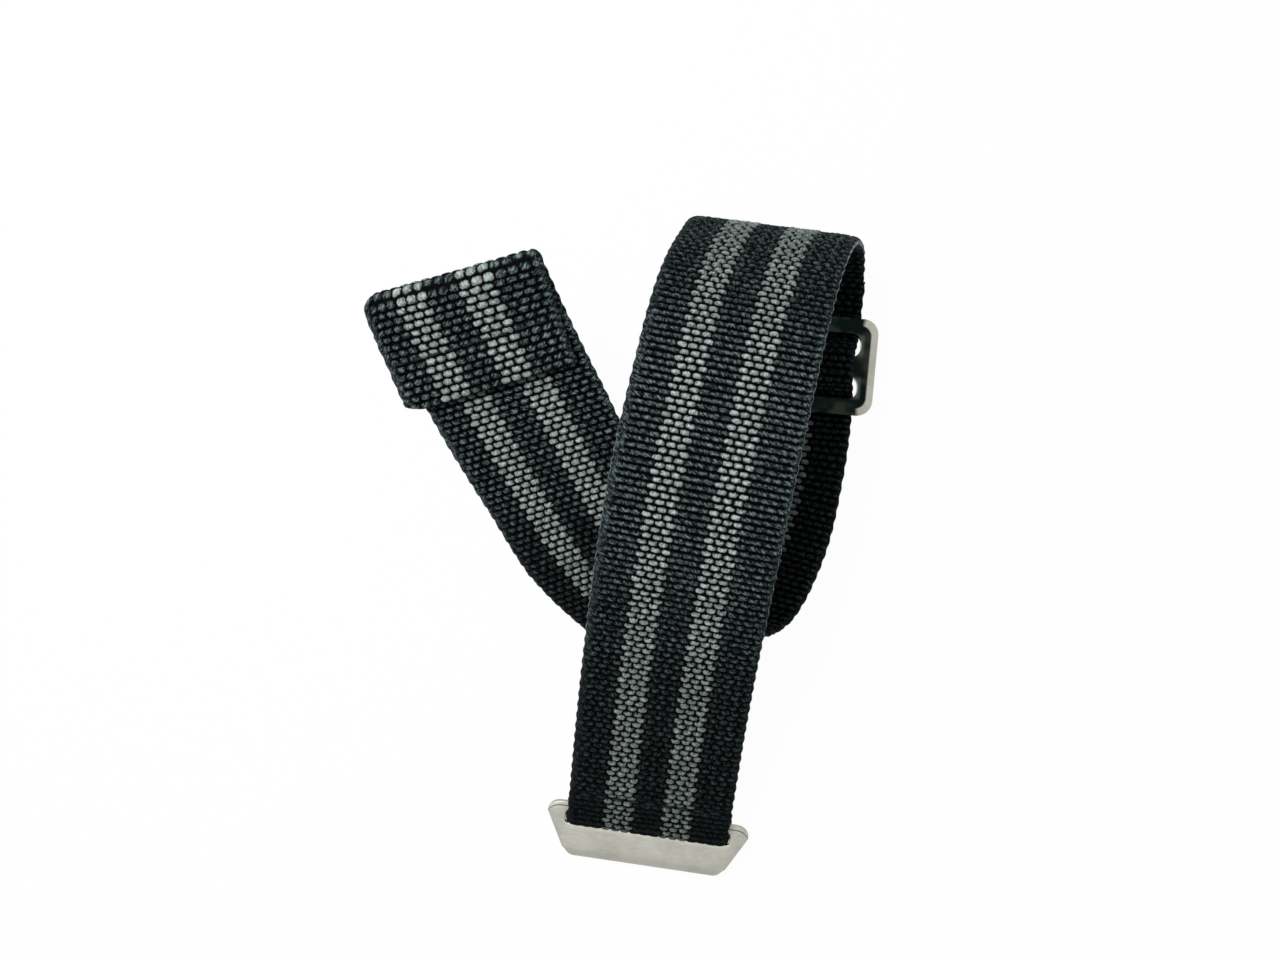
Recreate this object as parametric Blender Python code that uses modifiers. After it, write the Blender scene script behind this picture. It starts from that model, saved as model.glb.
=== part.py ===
"""Elastic watch strap with a hook plate and a three-bar slider.

One 20 mm elastic webbing is coiled round the wrist space: from the hook it climbs over a crest, turns
under at the top, lies flat through the slider, turns up at the bottom and ends in a sewn fold.
The origin lies on the flat run's outer face, below the slider, where the strap rests on a table.
+Y runs along the flat run to the top curl, +X runs across the webbing and +Z points up.
"""

import math
from dataclasses import dataclass

import bmesh
import bpy
from mathutils import Matrix, Vector

# Webbing
WEBBING_WIDTH = 0.020
WEBBING_THICKNESS = 0.0015
SELVEDGE_WIDTH = 0.0006
SELVEDGE_THICKNESS_SHARE = 0.5
CLEARANCE = 0.0003
LENGTH_GAP = 0.0003
RING_STEP = 0.0012

# Route of the webbing, from the hook to the tail fold
SEWN_END_LENGTH = 0.0067
SEWN_EASE_LENGTH = 0.0012
WATCH_SEAT_LENGTH = 0.0057
MID_RAMP_LENGTH = 0.016
RISE_LENGTH = 0.012
CREST_ARC_LENGTH = 0.010
TOP_CURL_LENGTH = 0.008
TOP_TURN_LENGTH = 0.006
TOP_FOOT_LENGTH = 0.005
FLAT_RUN_LENGTH = 0.018
BOTTOM_ARC_LENGTH = 0.007
BOTTOM_TURN_LENGTH = 0.008
TAIL_CLIMB_LENGTH = 0.010
TAIL_RUN_LENGTH = 0.017
TAIL_END_LENGTH = 0.0168

# Tail fold
FOLD_LAYER_LENGTH = 0.0122
FOLD_SKEW_SHARE = -0.10
FOLD_DRIFT = 0.0009
FOLD_STITCH_SETBACK = 0.0063

# Places on the flat run, from its upper end
REST_SETBACK = 0.0156
SLIDER_SETBACK = 0.00825

# Slider
SLIDER_CHEEK_WIDTH = 0.0020
SLIDER_THICKNESS = 0.0011
SLIDER_CORNER_RADIUS = 0.0022
SLIDER_EDGE_ROUNDING = 0.00045
OUTER_BAR_WIDTH = 0.0019
MIDDLE_BAR_WIDTH = 0.0024
SLIDER_SLOT_HEIGHT = 0.0029
SLOT_SIDE_CLEARANCE = 0.0003
SLOT_CORNER_RADIUS = 0.0010
WAVE_LEAD_LENGTH = 0.0008

# Hook plate
HOOK_SHEET = 0.0009
HOOK_BAR_WIDTH = 0.0010
HOOK_SLOT_HEIGHT = 0.00215
HOOK_HEIGHT = 0.0069
HOOK_CHEEK_WIDTH = 0.0023
HOOK_TIP_SETBACK = 0.0013
HOOK_TIP_ROUNDING = 0.0009
HOOK_TOP_INSET = 0.00105
HOOK_TAPER = 0.00305
HOOK_CORNER_ROUNDING = 0.0009
HOOK_EDGE_ROUNDING = 0.00022
HOOK_MOUTH = 0.0008
HOOK_LIP_LENGTH = 0.0016
HOOK_PITCH = 4.0

# Loop of webbing round the hook's bar
LOOP_CLOSING_ANGLE = 22.0
LOOP_EASE_RADIUS = 0.003
LOOP_TAB_LENGTH = 0.0035
HOOK_STITCH_SETBACK = 0.00425

# Stitching
STITCH_PITCH = 0.0020
STITCH_RADIUS = 0.00018
STITCH_RISE = 0.0001
STITCH_SIDE_MARGIN = 0.0010

# Mesh detail
ARC_POINTS = 6
STITCH_RESOLUTION = 1
BEVEL_SEGMENTS = 2
CUTTER_OVERRUN = 0.002
MERGE_DISTANCE = 0.000001

ACROSS = Vector((1.0, 0.0, 0.0))
ALONG = Vector((0.0, 1.0, 0.0))
OUTWARD = Vector((0.0, 0.0, 1.0))

WEBBING_BLACK = (0.030, 0.036, 0.040, 1.0)
THREAD_BLACK = (0.012, 0.014, 0.016, 1.0)
SATIN_STEEL = (0.46, 0.45, 0.41, 1.0)


@dataclass(frozen=True)
class Stretch:
    """A piece of route with an even bend, twist and turn, in degrees over its whole length.

    A positive bend curves the webbing towards its inner face, a twist turns it about its own
    length and a turn swings it within its own plane.
    """

    length: float
    bend: float = 0.0
    twist: float = 0.0
    turn: float = 0.0


@dataclass(frozen=True)
class Frame:
    """A point on the webbing's middle layer, with the directions across, along and outward."""

    point: Vector
    basis: Matrix

    def at(self, across=0.0, along=0.0, outward=0.0):
        return self.point + self.basis @ Vector((across, along, outward))

    @property
    def across(self):
        return self.basis.col[0].copy()

    @property
    def along(self):
        return self.basis.col[1].copy()

    @property
    def outward(self):
        return self.basis.col[2].copy()

    def carried(self, stretch, distance):
        """The frame after a distance along a stretch, which is a screw motion."""
        share = distance / stretch.length
        spin = Vector((-stretch.bend, stretch.twist, stretch.turn)) * math.radians(share)
        forward = ALONG * distance
        angle = spin.length
        if angle == 0.0:
            return Frame(self.point + self.basis @ forward, self.basis.copy())
        axis = spin / angle
        moved = (
            forward * (math.sin(angle) / angle)
            + axis.cross(forward) * ((1.0 - math.cos(angle)) / angle)
            + axis * axis.dot(forward) * (1.0 - math.sin(angle) / angle)
        )
        turned = Matrix.Rotation(angle, 3, axis)
        return Frame(self.point + self.basis @ moved, self.basis @ turned)

    def reversed_along(self):
        """The same place with the direction of travel turned round and the faces kept."""
        return Frame(self.point.copy(), self.basis @ Matrix.Diagonal((-1.0, -1.0, 1.0)))


class Route:
    """A chain of stretches through one known frame, at the start of the stretch named by anchor."""

    def __init__(self, stretches, anchor_frame, anchor=0):
        self.stretches = stretches
        starts = {anchor: anchor_frame}
        for index in range(anchor, len(stretches)):
            starts[index + 1] = starts[index].carried(stretches[index], stretches[index].length)
        for index in range(anchor - 1, -1, -1):
            starts[index] = starts[index + 1].carried(stretches[index], -stretches[index].length)
        self.starts = [starts[index] for index in range(len(stretches) + 1)]
        self.marks = [sum(piece.length for piece in stretches[:index]) for index in range(len(stretches) + 1)]

    @property
    def length(self):
        return self.marks[-1]

    def frame(self, distance):
        """The frame at a distance from the route's start, carried straight on past its ends."""
        index = 0
        while index < len(self.stretches) - 1 and distance > self.marks[index + 1]:
            index += 1
        return self.starts[index].carried(self.stretches[index], distance - self.marks[index])


WEBBING_STRETCHES = (
    Stretch(SEWN_END_LENGTH),
    Stretch(SEWN_EASE_LENGTH, 2.0),
    Stretch(WATCH_SEAT_LENGTH),
    Stretch(MID_RAMP_LENGTH, -2.0, -1.5, -1.5),
    Stretch(RISE_LENGTH, 9.5, -1.5, -0.5),
    Stretch(CREST_ARC_LENGTH, 22.5, -1.5, -0.5),
    Stretch(CREST_ARC_LENGTH, 8.0, -4.5, -0.5),
    Stretch(CREST_ARC_LENGTH, 27.0, -1.0, -0.5),
    Stretch(CREST_ARC_LENGTH, 22.5, -4.0, -1.0),
    Stretch(TOP_CURL_LENGTH, 30.5, 0.5, 1.0),
    Stretch(TOP_TURN_LENGTH, 42.0, -4.0, 3.5),
    Stretch(TOP_FOOT_LENGTH, 49.5, -9.5, 2.0),
    Stretch(FLAT_RUN_LENGTH),
    Stretch(BOTTOM_ARC_LENGTH, 16.0, 5.2, 8.4),
    Stretch(BOTTOM_ARC_LENGTH, 1.8, 10.5, 5.7),
    Stretch(BOTTOM_ARC_LENGTH, -2.5, 13.1, 0.8),
    Stretch(BOTTOM_ARC_LENGTH, 62.0, 24.4, 4.1),
    Stretch(BOTTOM_TURN_LENGTH, 54.8, 11.6, -2.7),
    Stretch(TAIL_CLIMB_LENGTH, 6.8, 12.4, -0.5),
    Stretch(TAIL_RUN_LENGTH, -1.9, 11.3, -4.8),
    Stretch(TAIL_END_LENGTH, 2.2, 2.5, -3.6),
)
CREST_MARK = 6
TOP_FRONT_MARK = 9
TOP_CROWN_MARK = 10
TOP_REAR_MARK = 11
FLAT_MARK = 12
BOTTOM_REAR_MARK = 16
BOTTOM_LOW_MARK = 17
BOTTOM_TAIL_MARK = 18
TAIL_END_MARK = 20


def webbing_route():
    """The main route, built both ways from the flat run that rests with its outer face at z = 0."""
    point = Vector((0.0, REST_SETBACK, WEBBING_THICKNESS / 2))
    basis = Matrix((ACROSS, -ALONG, -OUTWARD)).transposed()
    return Route(WEBBING_STRETCHES, Frame(point, basis), FLAT_MARK)


def rounded_radius():
    """Radius of the webbing's middle layer where it wraps a slider bar."""
    return SLIDER_THICKNESS / 2 + CLEARANCE + WEBBING_THICKNESS / 2


def slider_level():
    """Height of the slider's middle plane, with the webbing passing under its outer bars."""
    return WEBBING_THICKNESS / 2 + rounded_radius()


def slider_place():
    """Middle of the slider, above the flat run."""
    return Vector((0.0, REST_SETBACK - SLIDER_SETBACK, slider_level()))


def wave_reach():
    """Distance along the flat run from the slider's middle to where the webbing lies flat again."""
    return MIDDLE_BAR_WIDTH / 2 + SLIDER_SLOT_HEIGHT + SLIDER_THICKNESS / 2


def wave_route():
    """The webbing through the slider: under an outer bar, over the middle bar, under the other."""
    radius = rounded_radius()
    middle_flat = MIDDLE_BAR_WIDTH - SLIDER_THICKNESS
    spread = wave_reach() - middle_flat / 2
    angle = math.asin(2 * radius / spread)
    slope = Stretch(math.sqrt(spread**2 - (2 * radius) ** 2))
    rise = Stretch(radius * angle, math.degrees(angle))
    fall = Stretch(radius * angle, -math.degrees(angle))
    lead = Stretch(WAVE_LEAD_LENGTH)
    stretches = (lead, rise, slope, fall, Stretch(middle_flat), fall, slope, rise, lead)
    start = Vector((0.0, slider_place().y + wave_reach() + WAVE_LEAD_LENGTH, WEBBING_THICKNESS / 2))
    basis = Matrix((ACROSS, -ALONG, -OUTWARD)).transposed()
    return Route(stretches, Frame(start, basis))


def loop_radius():
    """Radius of the webbing's middle layer round the hook's bar."""
    return HOOK_BAR_WIDTH / 2 + CLEARANCE + WEBBING_THICKNESS / 2


def loop_route(webbing):
    """The end loop: round the hook's bar, back under it and up against the front run."""
    radius = loop_radius()
    closing = math.radians(LOOP_CLOSING_ANGLE)
    layer_pitch = WEBBING_THICKNESS + CLEARANCE
    climb = radius - layer_pitch + radius * math.cos(closing)
    ease_climb = LOOP_EASE_RADIUS * (1.0 - math.cos(closing))
    stretches = (
        Stretch(radius * (math.pi + closing), 180.0 + LOOP_CLOSING_ANGLE),
        Stretch((climb - ease_climb) / math.sin(closing)),
        Stretch(LOOP_EASE_RADIUS * closing, -LOOP_CLOSING_ANGLE),
        Stretch(LOOP_TAB_LENGTH),
    )
    return Route(stretches, webbing.frame(0.0).reversed_along())


def hook_frame(webbing):
    """Frame of the hook plate: on its bar's axis, with along pointing from the bar to the narrow end."""
    start = webbing.frame(0.0)
    across = -start.across
    level = OUTWARD.cross(across).normalized()
    pitch = math.radians(HOOK_PITCH)
    along = level * math.cos(pitch) - OUTWARD * math.sin(pitch)
    upward = across.cross(along).normalized()
    basis = Matrix((across, upward.cross(across), upward)).transposed()
    return Frame(start.at(outward=-loop_radius()), basis)


def fold_place(webbing, across, distance, outward):
    """A point of the tail end, which runs to its fold line, turns over it and lies back on itself."""
    turn_radius = (WEBBING_THICKNESS + CLEARANCE) / 2
    fold_line = webbing.length + FOLD_SKEW_SHARE * across
    if distance <= fold_line:
        return webbing.frame(distance).at(across, 0.0, outward)
    turn = (distance - fold_line) / turn_radius
    if turn <= math.pi:
        edge = webbing.frame(fold_line)
        reach = turn_radius - outward
        return edge.at(across, reach * math.sin(turn), turn_radius - reach * math.cos(turn))
    back = distance - fold_line - math.pi * turn_radius
    drift = FOLD_DRIFT * back / FOLD_LAYER_LENGTH
    return webbing.frame(fold_line - back).at(across - drift, 0.0, 2 * turn_radius - outward)


def fold_end():
    """Length of the tail end's own path beyond the fold line."""
    return math.pi * (WEBBING_THICKNESS + CLEARANCE) / 2 + FOLD_LAYER_LENGTH


def clear_scene():
    for item in list(bpy.data.objects):
        bpy.data.objects.remove(item, do_unlink=True)
    for group in list(bpy.data.collections):
        bpy.data.collections.remove(group)


def new_collection(name):
    group = bpy.data.collections.new(name)
    bpy.context.scene.collection.children.link(group)
    return group


def principled(name, colour, roughness, metallic):
    """A plain Principled material."""
    material = bpy.data.materials.new(name)
    material.use_nodes = True
    shader = material.node_tree.nodes["Principled BSDF"]
    shader.inputs["Base Color"].default_value = colour
    shader.inputs["Roughness"].default_value = roughness
    shader.inputs["Metallic"].default_value = metallic
    material.diffuse_color = colour
    return material


def object_from(bm, name, group, origin=Vector((0.0, 0.0, 0.0))):
    """A new object from a bmesh in world coordinates, with its origin moved to a given point."""
    bmesh.ops.translate(bm, verts=bm.verts, vec=-origin)
    bmesh.ops.recalc_face_normals(bm, faces=bm.faces)
    mesh = bpy.data.meshes.new(name)
    bm.to_mesh(mesh)
    bm.free()
    item = bpy.data.objects.new(name, mesh)
    item.location = origin
    group.objects.link(item)
    return item


def finish(item, material):
    item.data.materials.clear()
    item.data.materials.append(material)
    item.data.shade_smooth()
    item.data.set_sharp_from_angle(angle=math.radians(35))


def parallel_edges(bm, axis):
    """Edges of a unit box that run along one axis."""
    return [edge for edge in bm.edges if abs((edge.verts[0].co - edge.verts[1].co).normalized()[axis]) > 0.9]


def webbing_length(name, start, end, place, group, origin):
    """A length of webbing: a box cut into rings along its length and bent onto its route.

    Its long edges are thinned to the selvedge. place(across, distance, outward) gives each point.
    """
    bm = bmesh.new()
    bmesh.ops.create_cube(bm, size=1.0)
    rings = max(1, round((end - start) / RING_STEP))
    if rings > 1:
        bmesh.ops.subdivide_edges(bm, edges=parallel_edges(bm, 1), cuts=rings - 1, use_grid_fill=True)
    bmesh.ops.subdivide_edges(bm, edges=parallel_edges(bm, 0), cuts=3, use_grid_fill=True)
    half = WEBBING_WIDTH / 2
    for vert in bm.verts:
        column = round(vert.co.x * 4)
        across = math.copysign(half - SELVEDGE_WIDTH * (2 - abs(column)), column) if column else 0.0
        thinning = SELVEDGE_THICKNESS_SHARE if abs(column) == 2 else 1.0
        distance = start + (end - start) * (vert.co.y + 0.5)
        vert.co = place(across, distance, vert.co.z * WEBBING_THICKNESS * thinning)
    return object_from(bm, name, group, origin)


def on_route(route):
    return lambda across, distance, outward: route.frame(distance).at(across, 0.0, outward)


def rounded_corners(corners, radii):
    """Points of an outline whose corners are rounded, in order."""
    points = []
    count = len(corners)
    for index, (corner, radius) in enumerate(zip(corners, radii)):
        back = (corners[index - 1] - corner).normalized()
        ahead = (corners[(index + 1) % count] - corner).normalized()
        half = back.angle(ahead) / 2
        centre = corner + (back + ahead).normalized() * (radius / math.sin(half))
        first = corner + back * (radius / math.tan(half)) - centre
        last = corner + ahead * (radius / math.tan(half)) - centre
        sweep = first.angle_signed(last)
        for step in range(ARC_POINTS):
            turned = first.copy()
            turned.rotate(Matrix.Rotation(-sweep * step / (ARC_POINTS - 1), 2))
            points.append(centre + turned)
    return points


def solid_from_curve(name, curve, group, origin=Vector((0.0, 0.0, 0.0))):
    """A closed mesh object made from a filled curve."""
    sketch = bpy.data.objects.new(name + "_sketch", curve)
    group.objects.link(sketch)
    bpy.context.view_layer.update()
    mesh = bpy.data.meshes.new_from_object(sketch.evaluated_get(bpy.context.evaluated_depsgraph_get()))
    bpy.data.objects.remove(sketch, do_unlink=True)
    bm = bmesh.new()
    bm.from_mesh(mesh)
    bpy.data.meshes.remove(mesh)
    bmesh.ops.remove_doubles(bm, verts=bm.verts, dist=MERGE_DISTANCE)
    return object_from(bm, name, group, origin)


def outline_solid(name, outlines, thickness, group):
    """A flat plate from closed outlines, the first its edge and the others its holes."""
    curve = bpy.data.curves.new(name, "CURVE")
    curve.dimensions = "2D"
    curve.fill_mode = "BOTH"
    curve.extrude = thickness / 2
    for points in outlines:
        spline = curve.splines.new("POLY")
        spline.points.add(len(points) - 1)
        for target, point in zip(spline.points, points):
            target.co = (point.x, point.y, 0.0, 1.0)
        spline.use_cyclic_u = True
    return solid_from_curve(name, curve, group)


def rectangle(width, height, radius):
    """A centred rectangle with rounded corners."""
    x, y = width / 2, height / 2
    corners = [Vector((-x, -y)), Vector((x, -y)), Vector((x, y)), Vector((-x, y))]
    return rounded_corners(corners, [radius] * 4)


def shifted(points, across, along):
    return [point + Vector((across, along)) for point in points]


def round_edges(item, width):
    modifier = item.modifiers.new("rounding", "BEVEL")
    modifier.width = width
    modifier.segments = BEVEL_SEGMENTS
    modifier.limit_method = "ANGLE"
    modifier.angle_limit = math.radians(50)


def stand_at(item, frame):
    """Place a piece that was made in its own plane on a frame."""
    item.matrix_world = Matrix.Translation(frame.point) @ frame.basis.to_4x4()


def slot_width():
    return WEBBING_WIDTH + 2 * SLOT_SIDE_CLEARANCE


def make_slider(group):
    """Three bars and two slots in one plate with well rounded edges."""
    height = 2 * OUTER_BAR_WIDTH + 2 * SLIDER_SLOT_HEIGHT + MIDDLE_BAR_WIDTH
    offset = (MIDDLE_BAR_WIDTH + SLIDER_SLOT_HEIGHT) / 2
    edge = rectangle(slot_width() + 2 * SLIDER_CHEEK_WIDTH, height, SLIDER_CORNER_RADIUS)
    slot = rectangle(slot_width(), SLIDER_SLOT_HEIGHT, SLOT_CORNER_RADIUS)
    outlines = [edge, shifted(slot, 0.0, offset), shifted(slot, 0.0, -offset)]
    slider = outline_solid("slider", outlines, SLIDER_THICKNESS, group)
    round_edges(slider, SLIDER_EDGE_ROUNDING)
    slider.location = slider_place()
    return slider


def hook_profile():
    """The hook's side outline: a flat sheet whose narrow end curls under into a lip."""
    middle = (HOOK_MOUTH + HOOK_SHEET) / 2
    curl_start = HOOK_HEIGHT - HOOK_BAR_WIDTH / 2 - middle - HOOK_SHEET / 2
    outer, inner = [], []
    steps = 2 * ARC_POINTS
    for step in range(steps + 1):
        angle = math.pi * step / steps
        for side, radius in ((outer, middle + HOOK_SHEET / 2), (inner, middle - HOOK_SHEET / 2)):
            side.append(Vector((curl_start + radius * math.sin(angle), radius * math.cos(angle) - middle)))
    back = -HOOK_BAR_WIDTH / 2
    lip_end = curl_start - HOOK_LIP_LENGTH
    top, bottom = HOOK_SHEET / 2, -HOOK_SHEET / 2
    start = [Vector((back, top))]
    lip = [Vector((lip_end, outer[-1].y)), Vector((lip_end, inner[-1].y))]
    return start + outer + lip + inner[::-1] + [Vector((back, bottom))]


def make_hook(group, cutters, frame):
    """The hook plate: its curled sheet, trimmed to a tapered outline and pierced by a slot."""
    half_tip = slot_width() / 2 + HOOK_CHEEK_WIDTH
    half_top, half_narrow = half_tip - HOOK_TOP_INSET, half_tip - HOOK_TAPER
    blank = outline_solid("hook_plate", [hook_profile()], 2 * half_tip + CUTTER_OVERRUN, group)
    blank.data.transform(Matrix(((0, 0, 1, 0), (1, 0, 0, 0), (0, 1, 0, 0), (0, 0, 0, 1))))
    back = -HOOK_BAR_WIDTH / 2
    tip = back + HOOK_TIP_SETBACK
    end = back + HOOK_HEIGHT
    corners = [
        Vector((-half_top, back)),
        Vector((half_top, back)),
        Vector((half_tip, tip)),
        Vector((half_narrow, end)),
        Vector((-half_narrow, end)),
        Vector((-half_tip, tip)),
    ]
    tips, ends = HOOK_TIP_ROUNDING, HOOK_CORNER_ROUNDING
    outline = rounded_corners(corners, [tips / 2, tips / 2, tips, ends, ends, tips])
    depth = 2 * (HOOK_MOUTH + 2 * HOOK_SHEET) + CUTTER_OVERRUN
    trim = outline_solid("hook_trim_cutter", [outline], depth, cutters)
    slot_points = rectangle(slot_width(), HOOK_SLOT_HEIGHT, SLOT_CORNER_RADIUS)
    slot_middle = HOOK_BAR_WIDTH / 2 + HOOK_SLOT_HEIGHT / 2
    slot = outline_solid("hook_slot_cutter", [shifted(slot_points, 0.0, slot_middle)], 2 * HOOK_SHEET, cutters)
    for cutter, operation in ((trim, "INTERSECT"), (slot, "DIFFERENCE")):
        cut = blank.modifiers.new(cutter.name, "BOOLEAN")
        cut.operation = operation
        cut.object = cutter
        cut.solver = "EXACT"
        cutter.hide_render = True
        cutter.display_type = "WIRE"
    round_edges(blank, HOOK_EDGE_ROUNDING)
    for item in (blank, trim, slot):
        stand_at(item, frame)
    return blank


def make_thread(name, place, distance, lift, group, origin):
    """One row of stitching: a thread that rises at the middle of each stitch and dips at its ends."""
    row_width = WEBBING_WIDTH - 2 * STITCH_SIDE_MARGIN
    steps = 2 * round(row_width / STITCH_PITCH)
    points = []
    for step in range(steps + 1):
        across = (step / steps - 0.5) * row_width
        points.append(place(across, distance, lift + (STITCH_RISE if step % 2 else 0.0)))
    curve = bpy.data.curves.new(name, "CURVE")
    curve.dimensions = "3D"
    curve.bevel_depth = STITCH_RADIUS
    curve.bevel_resolution = STITCH_RESOLUTION
    curve.use_fill_caps = True
    spline = curve.splines.new("POLY")
    spline.points.add(len(points) - 1)
    for target, point in zip(spline.points, points):
        target.co = (*point, 1.0)
    return solid_from_curve(name, curve, group, origin)


def webbing_pieces(webbing):
    """Name, ends, path and pivot of each length of webbing, from the hook to the tail."""
    marks = webbing.marks
    main = on_route(webbing)
    wave = wave_route()
    loop = loop_route(webbing)
    wave_start = marks[FLAT_MARK] + SLIDER_SETBACK - wave_reach() - WAVE_LEAD_LENGTH
    wave_end = marks[FLAT_MARK] + SLIDER_SETBACK + wave_reach() + WAVE_LEAD_LENGTH
    crest, top_front, top_crown, top_rear = (
        marks[CREST_MARK], marks[TOP_FRONT_MARK], marks[TOP_CROWN_MARK], marks[TOP_REAR_MARK])
    low_rear, low, low_tail, tail_end = (
        marks[BOTTOM_REAR_MARK], marks[BOTTOM_LOW_MARK], marks[BOTTOM_TAIL_MARK], marks[TAIL_END_MARK])

    def tail(across, distance, outward):
        return fold_place(webbing, across, distance, outward)

    return (
        ("hook_loop", 0.0, loop.length, on_route(loop), crest),
        ("front_run_lower", 0.0, crest, main, crest),
        ("front_run_upper", crest, top_front, main, top_front),
        ("top_curl_front", top_front, top_crown, main, top_crown),
        ("top_curl_rear", top_crown, top_rear, main, top_rear),
        ("rear_run_upper", top_rear, wave_start, main, top_rear),
        ("slider_wave", 0.0, wave.length, on_route(wave), None),
        ("rear_run_lower", wave_end, low_rear, main, low_rear),
        ("bottom_curl_rear", low_rear, low, main, low_rear),
        ("bottom_curl_tail", low, low_tail, main, low),
        ("tail_run", low_tail, tail_end, main, low_tail),
        ("tail_fold", tail_end, webbing.length + fold_end(), tail, tail_end),
    )


def main():
    clear_scene()
    group = new_collection("elastic_watch_strap")
    cutters = new_collection("cutters")
    webbing = webbing_route()
    fabric = principled("webbing", WEBBING_BLACK, 0.85, 0.0)
    thread = principled("thread", THREAD_BLACK, 0.8, 0.0)
    hook_steel = principled("hook_steel", SATIN_STEEL, 0.38, 1.0)
    slider_steel = principled("slider_steel", SATIN_STEEL, 0.3, 1.0)

    for name, start, end, place, pivot in webbing_pieces(webbing):
        origin = slider_place() if pivot is None else webbing.frame(pivot).point
        half_gap = LENGTH_GAP / 2
        free_end = name in ("hook_loop", "tail_fold")
        far = end if free_end else end - half_gap
        piece = webbing_length(name, start + half_gap, far, place, group, origin)
        finish(piece, fabric)

    slider = make_slider(group)
    finish(slider, slider_steel)
    hook = make_hook(group, cutters, hook_frame(webbing))
    finish(hook, hook_steel)

    surface = WEBBING_THICKNESS / 2 + CLEARANCE + STITCH_RADIUS
    layer_pitch = WEBBING_THICKNESS + CLEARANCE
    main_place = on_route(webbing)
    crest = webbing.frame(webbing.marks[CREST_MARK]).point
    hook_thread = make_thread(
        "hook_end_stitching", main_place, HOOK_STITCH_SETBACK, surface, group, crest)
    finish(hook_thread, thread)
    row = webbing.length - FOLD_STITCH_SETBACK
    tail_end = webbing.frame(webbing.marks[TAIL_END_MARK]).point
    tail_thread = make_thread(
        "tail_fold_stitching", main_place, row, surface + layer_pitch, group, tail_end)
    finish(tail_thread, thread)


if __name__ == "__main__":
    main()
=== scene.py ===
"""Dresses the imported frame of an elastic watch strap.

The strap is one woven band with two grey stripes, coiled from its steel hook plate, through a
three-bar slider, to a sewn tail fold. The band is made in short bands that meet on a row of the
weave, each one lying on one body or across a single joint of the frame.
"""

import logging
import math
from collections.abc import Callable
from dataclasses import dataclass, field
from enum import Enum

import bmesh
import bpy
import numpy as np
from mathutils import Matrix, Vector


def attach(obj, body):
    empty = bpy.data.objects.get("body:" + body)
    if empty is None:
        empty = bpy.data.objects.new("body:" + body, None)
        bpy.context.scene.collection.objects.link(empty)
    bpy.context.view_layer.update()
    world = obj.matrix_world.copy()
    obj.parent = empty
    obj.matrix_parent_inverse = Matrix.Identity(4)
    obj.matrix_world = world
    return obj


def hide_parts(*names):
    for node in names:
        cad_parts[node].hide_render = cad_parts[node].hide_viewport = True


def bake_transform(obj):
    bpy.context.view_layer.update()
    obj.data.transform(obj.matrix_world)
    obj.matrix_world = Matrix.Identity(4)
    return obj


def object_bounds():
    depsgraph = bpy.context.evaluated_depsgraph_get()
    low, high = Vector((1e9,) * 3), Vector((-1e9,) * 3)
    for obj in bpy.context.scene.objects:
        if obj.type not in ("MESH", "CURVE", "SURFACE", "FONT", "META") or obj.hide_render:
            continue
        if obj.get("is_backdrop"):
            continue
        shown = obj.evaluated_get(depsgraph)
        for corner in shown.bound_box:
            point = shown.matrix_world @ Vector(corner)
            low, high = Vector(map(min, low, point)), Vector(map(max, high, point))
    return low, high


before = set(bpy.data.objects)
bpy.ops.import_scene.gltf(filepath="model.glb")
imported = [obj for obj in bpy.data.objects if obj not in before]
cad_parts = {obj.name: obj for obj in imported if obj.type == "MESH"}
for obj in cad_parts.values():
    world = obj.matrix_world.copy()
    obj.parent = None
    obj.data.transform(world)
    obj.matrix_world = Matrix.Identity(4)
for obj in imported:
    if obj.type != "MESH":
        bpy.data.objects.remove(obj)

LOG = logging.getLogger("strap")
MM = 0.001
HAIR = 0.01 * MM
CAD_BOX = [list(corner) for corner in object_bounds()]
Array = np.ndarray
Place = Callable[[Array, Array, Array], Array]
Colour = tuple[float, float, float, float]
Levels = tuple[tuple[float, float], ...]


@dataclass(frozen=True)
class Stretch:
    """A length of route in millimetres with its whole bend, twist and turn in degrees."""

    length: float
    bend: float = 0.0
    twist: float = 0.0
    turn: float = 0.0


@dataclass(frozen=True)
class WebbingSizes:
    """Sizes of the webbing and of its weave, in metres.

    A knot is one stitch of the weave, a column wide and a row long. Its width and height are
    shares that grow as the knot gets smaller. The selvedge is the wound edge.
    """

    width: float = 20.0 * MM
    thickness: float = 1.5 * MM
    layer_gap: float = 0.3 * MM
    column: float = 1.20 * MM
    row: float = 0.785 * MM
    pattern_offset: float = -0.138 * MM
    row_shift: float = 0.18
    stripe: tuple[float, float] = (1.5, 4.5)
    knot_depth: float = 0.44 * MM
    knot_spread: float = 0.07 * MM
    knot_power: float = 3.0
    knot_width: float = 1.08
    joined_width: float = 0.74
    knot_height: float = 1.12
    open_height: float = 0.20
    dome_power: float = 2.4
    knot_sizes: tuple[float, float] = (0.85, 0.30)
    black_sunk: float = 0.05 * MM
    deepest: float = 0.7
    edge_start: float = 8.7 * MM
    edge_power: float = 0.75
    selvedge: float = 8.8 * MM
    selvedge_right: float = 9.25 * MM
    selvedge_run: float = 0.6 * MM
    selvedge_lean: float = 0.5
    wound_power: float = 0.6
    wound_level: float = 0.03 * MM
    wound_depth: float = 0.17 * MM
    wound_fine: float = 0.04 * MM
    ripple: float = 0.06 * MM
    ripple_start: float = 9.0 * MM
    ripple_power: int = 8


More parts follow.
